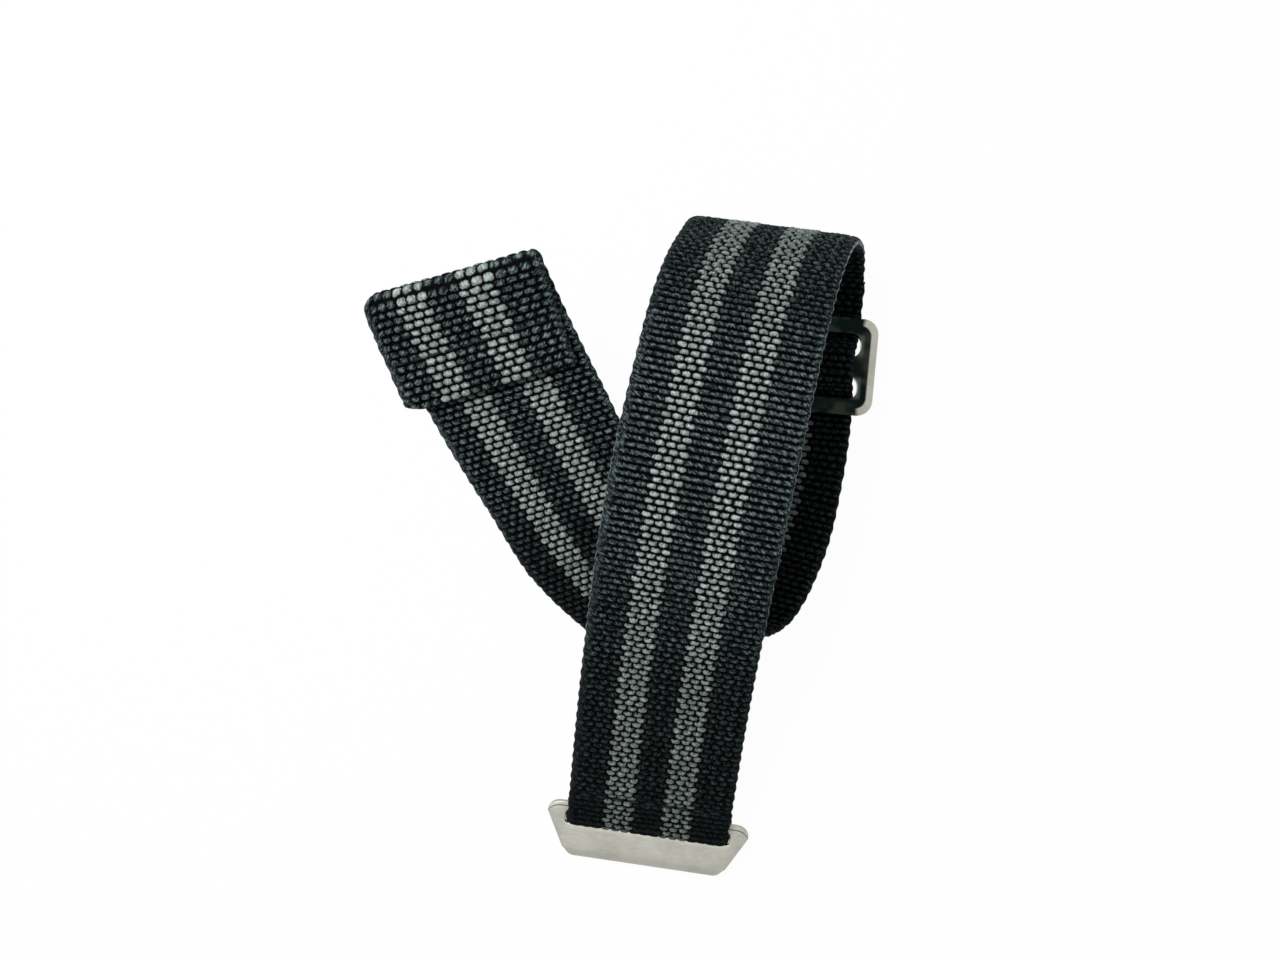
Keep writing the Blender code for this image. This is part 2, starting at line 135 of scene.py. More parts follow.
@dataclass(frozen=True)
class LoopSizes:
    """Sizes of the loop round the hook's bar, in metres and degrees.

    The webbing bulges before the slot, is squeezed wider in it and is sewn behind it.
    """

    radius: float = 1.55 * MM
    closing: float = 22.0
    ease_radius: float = 3.0 * MM
    tab: float = 3.5 * MM
    bulge: float = 0.20 * MM
    bulge_at: tuple[float, float] = (60.0, 16.0)
    dip_at: tuple[float, float] = (91.0, 15.0)
    squeeze: float = 0.033
    squeeze_start: tuple[float, float] = (48.0, 72.0)
    squeeze_end: tuple[float, float] = (260.0, 200.0)
    seam: float = 4.25 * MM
    seam_under: float = 9.35 * MM
    seam_depth: float = 0.36 * MM
    bar_turn: tuple[float, float] = (-5.3 * MM, -1.2 * MM)


@dataclass(frozen=True)
class CrestSizes:
    """How the top of the arch swells, and how the slider gathers the webbing, in metres."""

    middle: float = 87.0 * MM
    run: float = 5.0 * MM
    swell: float = 0.42 * MM
    raised: float = 0.13 * MM
    side_start: float = 6.0 * MM
    gathered: float = 0.088
    gathered_run: float = 3.8 * MM


@dataclass(frozen=True)
class FoldSizes:
    """Sizes of the sewn fold at the tail, in metres.

    The folded layer leans, drifts to the left and spreads at its right. Its left edge curls, and
    its left corners round off at the fold line and at the cut end.
    """

    layer: float = 12.2 * MM
    row_stretch: float = 1.11
    skew: float = -0.11
    skew_rows: tuple[float, float] = (149.9 * MM, 174.9 * MM)
    drift: float = 1.0 * MM
    seam: float = 6.3 * MM
    seam_run: float = 1.3 * MM
    seam_depth: float = 0.26 * MM
    settled: float = 0.16 * MM
    cut_run: float = 2.5 * MM
    left_start: float = 6.0 * MM
    curl_drop: float = 0.45 * MM
    curl_drift: float = 0.6 * MM
    drawn: float = 0.5 * MM
    drawn_rows: tuple[float, float] = (165.0 * MM, 173.0 * MM)
    right_start: float = 2.0 * MM
    spread: float = 1.35 * MM
    corner_start: float = 8.2 * MM
    line_corner: float = 0.95 * MM
    line_corner_run: float = 1.6 * MM
    cut_corner: float = 0.9 * MM
    cut_corner_run: float = 1.5 * MM


@dataclass(frozen=True)
class SliderSizes:
    """Sizes of the three-bar slider, in metres."""

    width: float = 24.6 * MM
    slot_width: float = 20.7 * MM
    outer_bar: float = 1.9 * MM
    slot: float = 2.9 * MM
    middle_bar: float = 2.4 * MM
    thickness: float = 1.1 * MM
    corner: float = 2.2 * MM
    slot_corner: float = 1.25 * MM
    rounding: float = 0.34 * MM
    wave_lead: float = 0.8 * MM
    centre: tuple[float, float, float] = (0.0, 7.35 * MM, 2.35 * MM)


@dataclass(frozen=True)
class HookSizes:
    """Sizes of the hook plate, in metres, measured from its wide edge towards the narrow end."""

    sheet: float = 0.9 * MM
    bar: float = 1.0 * MM
    slot: float = 1.6 * MM
    slot_width: float = 20.6 * MM
    slot_corner: float = 0.55 * MM
    cheek: float = 0.3 * MM
    height: float = 6.95 * MM
    tip: float = 12.6 * MM
    tip_setback: float = 1.3 * MM
    top: float = 11.0 * MM
    narrow: float = 9.55 * MM
    narrow_rounding: float = 0.9 * MM
    narrow_cut: float = 0.75 * MM
    narrow_power: float = 2.4
    mouth: float = 0.8 * MM
    lip: float = 1.6 * MM
    pitch: float = 4.0
    rounding: float = 0.2 * MM
    # How far in from the wide edge and its round tips the painted shade line lies.
    shade_line: float = 0.5 * MM


WEBBING = WebbingSizes()
LOOP = LoopSizes()
CREST = CrestSizes()
FOLD = FoldSizes()
SLIDER = SliderSizes()
HOOK = HookSizes()

ROUTE_STRETCHES = (
    Stretch(6.7),
    Stretch(1.2, 2.0),
    Stretch(5.7),
    Stretch(16.0, -2.0, -1.5, -1.5),
    Stretch(12.0, 9.5, -1.5, -0.5),
    Stretch(10.0, 22.5, -1.5, -0.5),
    Stretch(10.0, 8.0, -4.5, -0.5),
    Stretch(10.0, 27.0, -1.0, -0.5),
    Stretch(10.0, 22.5, -4.0, -1.0),
    Stretch(8.0, 30.5, 0.5, 1.0),
    Stretch(6.0, 42.0, -4.0, 3.5),
    Stretch(5.0, 49.5, -9.5, 2.0),
    Stretch(18.0),
    Stretch(7.0, 16.0, 5.2, 8.4),
    Stretch(7.0, 1.8, 10.5, 5.7),
    Stretch(7.0, -2.5, 13.1, 0.8),
    Stretch(7.0, 62.0, 24.4, 4.1),
    Stretch(8.0, 54.8, 11.6, -2.7),
    Stretch(10.0, 6.8, 12.4, -0.5),
    Stretch(17.0, -1.9, 11.3, -4.8),
    Stretch(16.8, 2.2, 2.5, -3.6),
)
FLAT_INDEX = 12
FLAT_START = 15.6 * MM

# Each table pairs a place along the webbing, in millimetres, with a level there: how far the rows
# open, how far black knots join, the painted light, shade and sheen on the black and the grey
# yarns, and the width's share.
OPENED: Levels = (
    (4.0, 1.0), (4.9, 0.15), (14.0, 0.35), (44.0, 1.0), (62.0, 1.0),
    (84.0, 0.25), (98.0, 0.2), (112.0, 0.6), (140.0, 0.6), (158.0, 0.35),
)
JOINED: Levels = (
    (4.0, 0.9), (4.9, 0.15), (20.0, 0.15), (46.0, 0.8), (62.0, 0.8),
    (82.0, 0.2), (100.0, 0.2), (112.0, 0.5), (140.0, 0.5), (155.0, 0.1),
)
# Painted light and shade on the black yarn: dimmest near the hook, a painted sheen on the middle of
# the front run, shade on the rear run and on the tail beside the arch.
BLACK_PAINTED_LIGHT: Levels = (
    (1.0, 0.08), (8.0, 0.20), (20.0, 0.29), (30.0, 0.52), (44.0, 0.92),
    (60.0, 0.98), (72.0, 0.48), (82.0, 0.46), (100.0, 0.33), (140.0, 0.33),
    (156.0, 0.18), (168.0, 0.30), (177.0, 0.78), (186.0, 0.96),
)
# Painted light and shade on the grey yarn: dim near the hook and on the tail beside the arch,
# lightest on the middle of the front run.
GREY_PAINTED_LIGHT: Levels = (
    (1.0, 0.44), (8.0, 0.60), (22.0, 0.66), (34.0, 0.92), (45.0, 1.10),
    (60.0, 1.12), (71.0, 0.78), (80.0, 0.56), (100.0, 1.00), (140.0, 0.95),
    (160.0, 0.64), (174.0, 0.92), (183.0, 0.94),
)
GIRTH: Levels = (
    (94.0, 1.0), (99.0, 1.028), (119.0, 1.022), (127.0, 0.99),
    (134.0, 1.0), (139.0, 1.0), (145.0, 0.95), (151.0, 1.0),
)
SWAY: Levels = (
    (62.0, 0.0), (76.0, -0.28), (90.0, -0.28), (97.0, 0.0), (150.0, 0.0),
    (160.0, -0.62), (167.0, -0.68), (173.0, -0.54), (180.0, -0.36),
)


def mark(count: int) -> float:
    """How far along the route a number of stretches reach, in millimetres."""
    return sum(piece.length for piece in ROUTE_STRETCHES[:count])


def ramp(value: Array, start: float, end: float) -> Array:
    """An even climb from 0 at the start to 1 at the end, whichever comes first."""
    return np.clip((value - start) / (end - start), 0.0, 1.0)


def smooth(share: Array) -> Array:
    """A share that leaves 0 and reaches 1 gently."""
    return share * share * (3.0 - 2.0 * share)


def hump(value: Array, middle: float, run: float) -> Array:
    """A bell of height 1 about a middle."""
    return np.exp(-(((value - middle) / run) ** 2))


def eased(value: Array, levels: Levels) -> Array:
    """A level that eases from each listed place to the next."""
    level = np.full_like(value, levels[0][1])
    for (first, low), (last, high) in zip(levels, levels[1:]):
        level = level + (high - low) * smooth(ramp(value, first, last))
    return level


def rotations(spin: Array) -> Array:
    """Rotation matrices of an array of turning vectors.

    Args:
        spin: Turning vectors in radians, one per row.

    Returns:
        One 3 by 3 matrix for each of them.
    """
    angle = np.linalg.norm(spin, axis=1)
    axis = spin / np.maximum(angle, 1e-12)[:, None]
    skew = np.zeros((len(spin), 3, 3))
    skew[:, 0, 1], skew[:, 0, 2] = -axis[:, 2], axis[:, 1]
    skew[:, 1, 0], skew[:, 1, 2] = axis[:, 2], -axis[:, 0]
    skew[:, 2, 0], skew[:, 2, 1] = -axis[:, 1], axis[:, 0]
    sine, rest = np.sin(angle)[:, None, None], (1.0 - np.cos(angle))[:, None, None]
    return np.eye(3)[None] + sine * skew + rest * (skew @ skew)


class Route:
    """A chain of stretches through one known frame.

    Args:
        stretches: The stretches in order.
        point: A known point of the route.
        basis: The directions across, along and outward there, as columns.
        anchor: The stretch that starts at that point.
    """

    def __init__(
        self, stretches: tuple[Stretch, ...], point: Array, basis: Array, anchor: int = 0
    ) -> None:
        """Carry the known frame to every mark of the route."""
        self.lengths = np.array([piece.length for piece in stretches]) * MM
        self.spins = np.radians([[-piece.bend, piece.twist, piece.turn] for piece in stretches])
        self.marks = np.concatenate([[0.0], np.cumsum(self.lengths)])
        count = len(stretches)
        self.points = np.zeros((count + 1, 3))
        self.bases = np.zeros((count + 1, 3, 3))
        self.points[anchor], self.bases[anchor] = point, basis
        for index in range(anchor, count):
            self._carry(index, index, index + 1, self.lengths[index])
        for index in range(anchor - 1, -1, -1):
            self._carry(index, index + 1, index, -self.lengths[index])

    def _carry(self, stretch: int, start: int, end: int, distance: float) -> None:
        """Fill in the frame at one mark from the frame at the mark beside it."""
        where, basis = self._screw(np.array([stretch]), np.array([distance]), start)
        self.points[end], self.bases[end] = where[0], basis[0]

    def _screw(self, stretch: Array, distance: Array, start: int | Array) -> tuple[Array, Array]:
        """Points and bases after distances along stretches, each of which is a screw motion."""
        spin = self.spins[stretch] * (distance / self.lengths[stretch])[:, None]
        angle = np.linalg.norm(spin, axis=1)
        safe = np.maximum(angle, 1e-12)
        axis = spin / safe[:, None]
        forward = np.zeros((len(distance), 3))
        forward[:, 1] = distance
        first = np.where(angle > 1e-9, np.sin(safe) / safe, 1.0)
        second = np.where(angle > 1e-9, (1.0 - np.cos(safe)) / safe, 0.0)
        third = axis * (axis[:, 1] * distance * (1.0 - first))[:, None]
        moved = forward * first[:, None] + np.cross(axis, forward) * second[:, None] + third
        base = np.broadcast_to(self.bases[start], (len(distance), 3, 3))
        where = self.points[start] + np.einsum("nij,nj->ni", base, moved)
        return where, base @ rotations(spin)

    def frames(self, distance: Array) -> tuple[Array, Array]:
        """Points and bases at distances along the route, carried straight on past its ends."""
        index = np.searchsorted(self.marks, distance, side="right") - 1
        index = np.clip(index, 0, len(self.lengths) - 1)
        return self._screw(index, distance - self.marks[index], index)

    def place(self, across: Array, distance: Array, outward: Array) -> Array:
        """Points at places across, along and outward of the webbing's middle layer."""
        where, basis = self.frames(distance)
        return where + basis[:, :, 0] * across[:, None] + basis[:, :, 2] * outward[:, None]

    def frame(self, distance: float) -> tuple[Array, Array]:
        """The point and the basis at one distance."""
        where, basis = self.frames(np.array([distance]))
        return where[0], basis[0]


class WebbingPath:
    """Every path that the one webbing follows, from its hook loop to the end of its tail fold."""

    def __init__(self) -> None:
        """Lay out the main route, the end loop and the slider's wave."""
        basis = np.array([[1.0, 0.0, 0.0], [0.0, -1.0, 0.0], [0.0, 0.0, -1.0]])
        start = np.array([0.0, FLAT_START, WEBBING.thickness / 2])
        self.half = WEBBING.width / 2
        self.main = Route(ROUTE_STRETCHES, start, basis, FLAT_INDEX)
        self.loop = self._loop()
        self.wave, self.wave_start, self.wave_end = self._wave(basis)
        self.extra = self.wave.marks[-1] - (self.wave_end - self.wave_start)
        self.fold_radius = (WEBBING.thickness + WEBBING.layer_gap) / 2

    def _loop(self) -> Route:
        """The end loop round the hook's bar and its tab under the front run."""
        closing = math.radians(LOOP.closing)
        pitch = WEBBING.thickness + WEBBING.layer_gap
        climb = LOOP.radius * (1.0 + math.cos(closing)) - pitch
        ease_climb = LOOP.ease_radius * (1.0 - math.cos(closing))
        stretches = (
            Stretch(LOOP.radius * (math.pi + closing) / MM, 180.0 + LOOP.closing),
            Stretch((climb - ease_climb) / math.sin(closing) / MM),
            Stretch(LOOP.ease_radius * closing / MM, -LOOP.closing),
            Stretch(LOOP.tab / MM),
        )
        where, basis = self.main.frame(0.0)
        return Route(stretches, where, basis @ np.diag([-1.0, -1.0, 1.0]))

    def _wave(self, basis: Array) -> tuple[Route, float, float]:
        """The path under and over the slider's bars, and where it leaves and joins the flat run."""
        radius = SLIDER.thickness / 2 + WEBBING.layer_gap + WEBBING.thickness / 2
        top = SLIDER.middle_bar - SLIDER.thickness
        reach = SLIDER.middle_bar / 2 + SLIDER.slot + SLIDER.thickness / 2
        spread = reach - top / 2
        angle = math.asin(2 * radius / spread)
        slope = Stretch(math.sqrt(spread**2 - (2 * radius) ** 2) / MM)
        rise = Stretch(radius * angle / MM, math.degrees(angle))
        fall = Stretch(radius * angle / MM, -math.degrees(angle))
        lead = Stretch(SLIDER.wave_lead / MM)
        stretches = (lead, rise, slope, fall, Stretch(top / MM), fall, slope, rise, lead)
        outer = reach + SLIDER.wave_lead
        start = np.array([0.0, SLIDER.centre[1] + outer, WEBBING.thickness / 2])
        middle = self.main.marks[FLAT_INDEX] + FLAT_START - SLIDER.centre[1]
        return Route(stretches, start, basis), middle - outer, middle + outer

    @staticmethod
    def sway(distance: Array) -> Array:
        """How far the webbing lies to one side of its route."""
        places, levels = zip(*SWAY)
        return np.interp(distance / MM, places, levels) * MM

    def girth(self, distance: Array) -> Array:
        """The webbing's own width as a share: flatter on the table and gathered in the slider."""
        middle = (self.wave_start + self.wave_end + self.extra) / 2
        gathered = hump(distance, middle, CREST.gathered_run)
        return eased(distance / MM, GIRTH) - CREST.gathered * gathered

    def front_place(self, across: Array, distance: Array, outward: Array) -> Array:
        """Points of the arched front run and the top curl."""
        crest = hump(distance, CREST.middle, CREST.run)
        swell = CREST.swell * crest * ramp(-across, CREST.side_start, self.half) ** 2
        raised = outward + np.where(outward > 0.0, CREST.raised * crest, 0.0)
        return self.main.place(across - swell + self.sway(distance), distance, raised)

    def hook_place(self, across: Array, distance: Array, outward: Array) -> Array:
        """Points of the hook end, where a negative distance lies on the loop."""
        turned = np.degrees(np.maximum(-distance, 0.0) / LOOP.radius)
        bulge = LOOP.bulge * (hump(turned, *LOOP.bulge_at) - hump(turned, *LOOP.dip_at))
        outward = outward + np.where(outward > 0.0, bulge, 0.0)
        squeezed = ramp(turned, *LOOP.squeeze_start) * ramp(turned, *LOOP.squeeze_end)
        across = across * (1.0 + LOOP.squeeze * squeezed)
        ahead = self.main.place(across, np.maximum(distance, 0.0), outward)
        behind = self.loop.place(-across, np.maximum(-distance, 0.0), outward)
        return np.where((distance < 0.0)[:, None], behind, ahead)

    def slider_place(self, across: Array, distance: Array, outward: Array) -> Array:
        """Points of the flat run on both sides of the slider and of the wave through it."""
        across = across * self.girth(distance)
        along = np.clip(distance - self.wave_start, 0.0, self.wave.marks[-1])
        inside = self.wave.place(across, along, outward)
        before = self.main.place(across, np.minimum(distance, self.wave_start), outward)
        plain = distance - self.extra
        after = self.main.place(across, np.maximum(plain, self.wave_end), outward)
        points = np.where((distance < self.wave_start)[:, None], before, inside)
        return np.where((plain > self.wave_end)[:, None], after, points)

    def rear_place(self, across: Array, distance: Array, outward: Array) -> Array:
        """Points beyond the slider, where the rows lean more and more towards the tail."""
        across = across * self.girth(distance)
        plain = distance - self.extra
        plain = plain + FOLD.skew * across * smooth(ramp(plain, *FOLD.skew_rows))
        return self._fold(across + self.sway(plain), plain, outward)

    def _fold(self, across: Array, distance: Array, outward: Array) -> Array:
        """Points of the tail, which turns over at its fold line and lies back on itself."""
        radius = self.fold_radius
        line = self.main.marks[-1] + FOLD.skew * across
        beyond = distance > line
        distance = np.where(beyond, line + (distance - line) * FOLD.row_stretch, distance)
        turn = np.clip((distance - line) / radius, 0.0, math.pi)
        turned = turn / math.pi
        back = np.maximum(distance - line - math.pi * radius, 0.0)
        along = np.minimum(distance, line) - back
        reach = radius - outward
        height = np.where(beyond, radius - reach * np.cos(turn), outward)
        ahead = np.where(beyond, reach * np.sin(turn), 0.0)
        left = ramp(-across, FOLD.left_start, self.half) ** 2
        right = ramp(across, FOLD.right_start, self.half)
        fading = turned * ramp(back, FOLD.layer, 0.0)
        drawn = FOLD.drawn * left * ramp(along, *FOLD.drawn_rows) * (1.0 - turned)
        side = across - FOLD.drift * turned + drawn
        side = side + (FOLD.curl_drift * left + FOLD.spread * right) * fading
        height = np.where(back > 0.0, 2 * radius - outward, height)
        height = height - self._settle(back) - FOLD.curl_drop * left * fading
        near_line = hump(along, self.main.marks[-1], FOLD.line_corner_run)
        near_cut = np.where(back > 0.0, hump(back, FOLD.layer, FOLD.cut_corner_run), 0.0)
        cut_back = FOLD.cut_corner * near_cut - FOLD.line_corner * near_line
        ahead = ahead + cut_back * ramp(-across, FOLD.corner_start, self.half) ** 2
        where, basis = self.main.frames(along)
        shift = np.stack([side, ahead, height], axis=1)
        return where + np.einsum("nij,nj->ni", basis, shift)

    @staticmethod
    def _settle(back: Array) -> Array:
        """How far the folded layer settles at its seam and towards its cut end."""
        cut = ramp(back, FOLD.layer - FOLD.cut_run, FOLD.layer)
        return FOLD.settled * (hump(back, FOLD.seam, FOLD.seam_run) + cut * cut)

    @property
    def fold_line(self) -> float:
        """Distance of the tail's fold line, counted along the webbing."""
        return self.main.marks[-1] + self.extra

    def folded(self, back: float) -> float:
        """Distance along the webbing of a place on the folded layer."""
        return self.fold_line + (math.pi * self.fold_radius + back) / FOLD.row_stretch


class Weave:
    """Relief of the woven face: rows of knots that shift sideways on every other row.

    Its points lie evenly on the flat face and at set angles, in degrees, round each edge.
    """

    FLAT_POINTS = 108
    EDGE_ANGLES = (16.0, 34.0, 52.0, 70.0, 84.0)

    def __init__(self, sizes: WebbingSizes = WEBBING) -> None:
        """Keep the webbing's sizes."""
        self.sizes = sizes

    @staticmethod
    def chance(column: Array, row: Array, seed: float) -> Array:
        """A steady number from 0 to 1 for each knot."""
        value = np.sin(column * 12.9898 + row * 78.233 + seed) * 43758.5453
        return value - np.floor(value)

    def columns(self) -> tuple[Array, Array]:
        """Places across the webbing, from edge to edge, and half its thickness at each."""
        sizes = self.sizes
        flat = np.linspace(-sizes.edge_start, sizes.edge_start, self.FLAT_POINTS)
        angle = np.radians(self.EDGE_ANGLES)
        rise = sizes.edge_start + (sizes.width / 2 - sizes.edge_start) * np.sin(angle)
        half = sizes.thickness / 2
        edge = half * np.cos(angle) ** sizes.edge_power
        across = np.concatenate([[-sizes.width / 2], -rise[::-1], flat, rise, [sizes.width / 2]])
        height = np.concatenate([[0.0], edge[::-1], np.full(len(flat), half), edge, [0.0]])
        return across, height

    def relief(self, across: Array, rows: Array, face: float) -> Array:
        """Depth of the face below its highest level.

        Args:
            across: Places across the webbing, in metres.
            rows: Places along it, in rows.
            face: 1 for the outer face and -1 for the inner one.

        Returns:
            The depth at each place, in metres.
        """
        edge = ramp(np.abs(across) - self.selvedge_start(across), 0.0, self.sizes.selvedge_run)
        return self._knots(across, rows, face) * (1.0 - edge) + self._wound(across, rows) * edge

    def selvedge_start(self, across: Array) -> Array:
        """How far from the middle the wound edge starts on each side."""
        return np.where(across > 0.0, self.sizes.selvedge_right, self.sizes.selvedge)

    def _knots(self, across: Array, rows: Array, face: float) -> Array:
        """Depth of the knotted face, where rows open and black knots join along the webbing."""
        sizes = self.sizes
        row = np.floor(rows)
        parity = np.mod(row, 2.0) * 2.0 - 1.0
        shifted = (across - sizes.pattern_offset) / sizes.column - sizes.row_shift * parity
        column = np.round(shifted)
        grey = (np.abs(column) > sizes.stripe[0]) & (np.abs(column) < sizes.stripe[1])
        place = rows * sizes.row / MM
        joined = (sizes.joined_width - sizes.knot_width) * eased(place, JOINED)
        wide = sizes.knot_width + np.where(grey, 0.0, joined)
        high = sizes.knot_height + sizes.open_height * eased(place, OPENED)
        power = sizes.knot_power
        reach = np.abs(2.0 * (shifted - column) * wide) ** power
        reach += np.abs(2.0 * (rows - row - 0.5) * high) ** power
        radius = np.minimum(reach ** (1.0 / power), 1.0)
        dome = np.sqrt(np.clip(1.0 - radius**sizes.dome_power, 0.0, 1.0))
        least, more = sizes.knot_sizes
        size = least + more * self.chance(column, row, 1.7 + face)
        sunk = sizes.knot_spread * self.chance(column, row, 9.3 + face)
        sunk += np.where(grey, 0.0, sizes.black_sunk)
        return sizes.knot_depth * (1.0 - dome) * size + sunk

    def _wound(self, across: Array, rows: Array) -> Array:
        """Depth of the edge's slanted windings."""
        sizes = self.sizes
        past = np.abs(across) - self.selvedge_start(across)
        slant = (rows - sizes.selvedge_lean * past / sizes.row) * math.pi
        wound = np.abs(np.sin(slant)) ** sizes.wound_power
        row = np.floor(rows)
        fine = np.abs(np.sin(slant * 3.0 + 5.0 * self.chance(row, row, 2.2)))
        grooves = sizes.wound_depth * (1.0 - wound) + sizes.wound_fine * (1.0 - fine)
        return sizes.wound_level + grooves


@dataclass
class Seam:
    """A row of stitches that draws the webbing down.

    Attributes:
        row: Its place along the webbing, in rows.
        depth: How far the face is drawn in, in metres.
        run: How many rows it draws in on each side.
    """

    row: float
    depth: float = 0.24 * MM
    run: float = 0.62

    def dip(self, rows: Array) -> Array:
        """How far the seam draws the face down at places along the webbing."""
        return self.depth * hump(rows, self.row, self.run)


@dataclass
class TightBend:
    """Rows that are pulled smooth where the webbing turns sharply.

    Attributes:
        first: The first row of the turn.
        last: The last row of the turn.
        share: How much of the relief is left there.
    """

    first: float
    last: float
    share: float

    def factor(self, rows: Array) -> Array:
        """How much of the relief is left at places along the webbing."""
        inside = ramp(rows, self.first - 1.0, self.first) * ramp(rows, self.last + 1.0, self.last)
        return 1.0 - (1.0 - self.share) * inside


def finished(
    bm: bmesh.types.BMesh, name: str, material: bpy.types.Material, angle: float = 35.0
) -> bpy.types.Object:
    """Turn a bmesh in world coordinates into a smooth shaded object at the origin."""
    mesh = bpy.data.meshes.new(name)
    bm.to_mesh(mesh)
    bm.free()
    mesh.materials.append(material)
    mesh.shade_smooth()
    mesh.set_sharp_from_angle(angle=math.radians(angle))
    item = bpy.data.objects.new(name, mesh)
    bpy.context.scene.collection.objects.link(item)
    return item


@dataclass(frozen=True)
class Crossing:
    """A joint that a band bends across.

    Attributes:
        before: The body on the hook's side. Not used.
        after: The body on the tail's side. Not used.
        start: Where the joint's stretch of the band starts, in millimetres along the main route.
        end: Where it ends. The build looks up the points at both and doesn't use them.
    """

    before: str
    after: str
    start: float
    end: float


@dataclass
class WovenBand:
    """One length of the woven webbing as a closed mesh.

    Attributes:
        name: The piece's name.
        place: Gives a point for a place across, along and outward.
        last: The last row of weave.
        holder: The body that it rides on or the joint that it crosses.
        replaces: CAD nodes that it stands for.
        seams: Rows of stitches on it.
        bends: Sharp turns in it.
        points_per_row: How many rows of points each row of weave has.
        weave: The relief of its faces.
    """

    name: str
    place: Place
    last: int
    holder: str | Crossing
    replaces: tuple[str, ...] = ()
    seams: tuple[Seam, ...] = ()
    bends: tuple[TightBend, ...] = ()
    points_per_row: int = 6
    weave: Weave = field(default_factory=Weave)

    def build(self, first: int, material: bpy.types.Material) -> bpy.types.Object:
        """Make the band's mesh from a grid that is wrapped round the webbing's section.

        Args:
            first: The first row of weave, where the band before it ends.
            material: The webbing's material.

        Returns:
            The finished band.
        """
        sizes = self.weave.sizes
        across, half = self.weave.columns()
        steps = 2 * (len(across) - 1)
        length = self.last - first
        bm = bmesh.new()
        bmesh.ops.create_grid(
            bm, x_segments=steps, y_segments=length * self.points_per_row, size=0.5
        )
        grid = np.array([vert.co[:] for vert in bm.verts])
        turn = np.rint((grid[:, 0] + 0.5) * steps).astype(int)
        outer = turn < len(across)
        index = np.where(outer, turn, steps - turn)
        rows = first + (grid[:, 1] + 0.5) * length
        side, height = across[index], half[index]
        relief = np.where(
            outer, self.weave.relief(side, rows, 1.0), self.weave.relief(side, rows, -1.0)
        )
        for bend in self.bends:
            relief *= bend.factor(rows)
        for seam in self.seams:
            relief += seam.dip(rows)
        outward = np.maximum(height - np.minimum(relief, height * sizes.deepest), 0.0)
        outward = np.where(outer, outward, -outward)
        near_edge = ramp(np.abs(side), 0.0, sizes.ripple_start) ** sizes.ripple_power
        ripple = sizes.ripple * np.sin(rows * math.pi) * near_edge
        points = self.place(side + np.sign(side) * ripple, rows * sizes.row, outward)
        columns = (side - sizes.pattern_offset) / sizes.column
        layer = bm.loops.layers.uv.new("weave")
        for vert, point, weave_at in zip(bm.verts, points, zip(columns, rows)):
            vert.co = point
            for loop in vert.link_loops:
                loop[layer].uv = weave_at
        bmesh.ops.remove_doubles(bm, verts=bm.verts, dist=0.1 * HAIR)
        open_edges = [edge for edge in bm.edges if edge.is_boundary]
        bmesh.ops.holes_fill(bm, edges=open_edges, sides=0)
        bmesh.ops.recalc_face_normals(bm, faces=bm.faces)
        return finished(bm, self.name, material, 60.0)


@dataclass(eq=False)
class Value:
    """One output of a shader node. Arithmetic on it adds Math nodes to the same tree."""

    wiring: "Wiring"
    socket: bpy.types.NodeSocket

    def math(self, operation: str, other: "Value | float" = 0.0, clamp: bool = False) -> "Value":
        """This value and another put through a Math node."""
        return self.wiring.math(operation, self, other, clamp)

    def __add__(self, other: "Value | float") -> "Value":
        """The sum."""
        return self.math("ADD", other)

    def __sub__(self, other: "Value | float") -> "Value":
        """The difference."""
        return self.math("SUBTRACT", other)

    def __rsub__(self, other: float) -> "Value":
        """The difference from a plain number."""
        return self.wiring.math("SUBTRACT", other, self)

    def __mul__(self, other: "Value | float") -> "Value":
        """The product."""
        return self.math("MULTIPLY", other)

    def __truediv__(self, other: "Value | float") -> "Value":
        """The quotient."""
        return self.math("DIVIDE", other)

    def __pow__(self, other: "Value | float") -> "Value":
        """The power."""
        return self.math("POWER", other)

    def __abs__(self) -> "Value":
        """The value without its sign."""
        return self.math("ABSOLUTE")


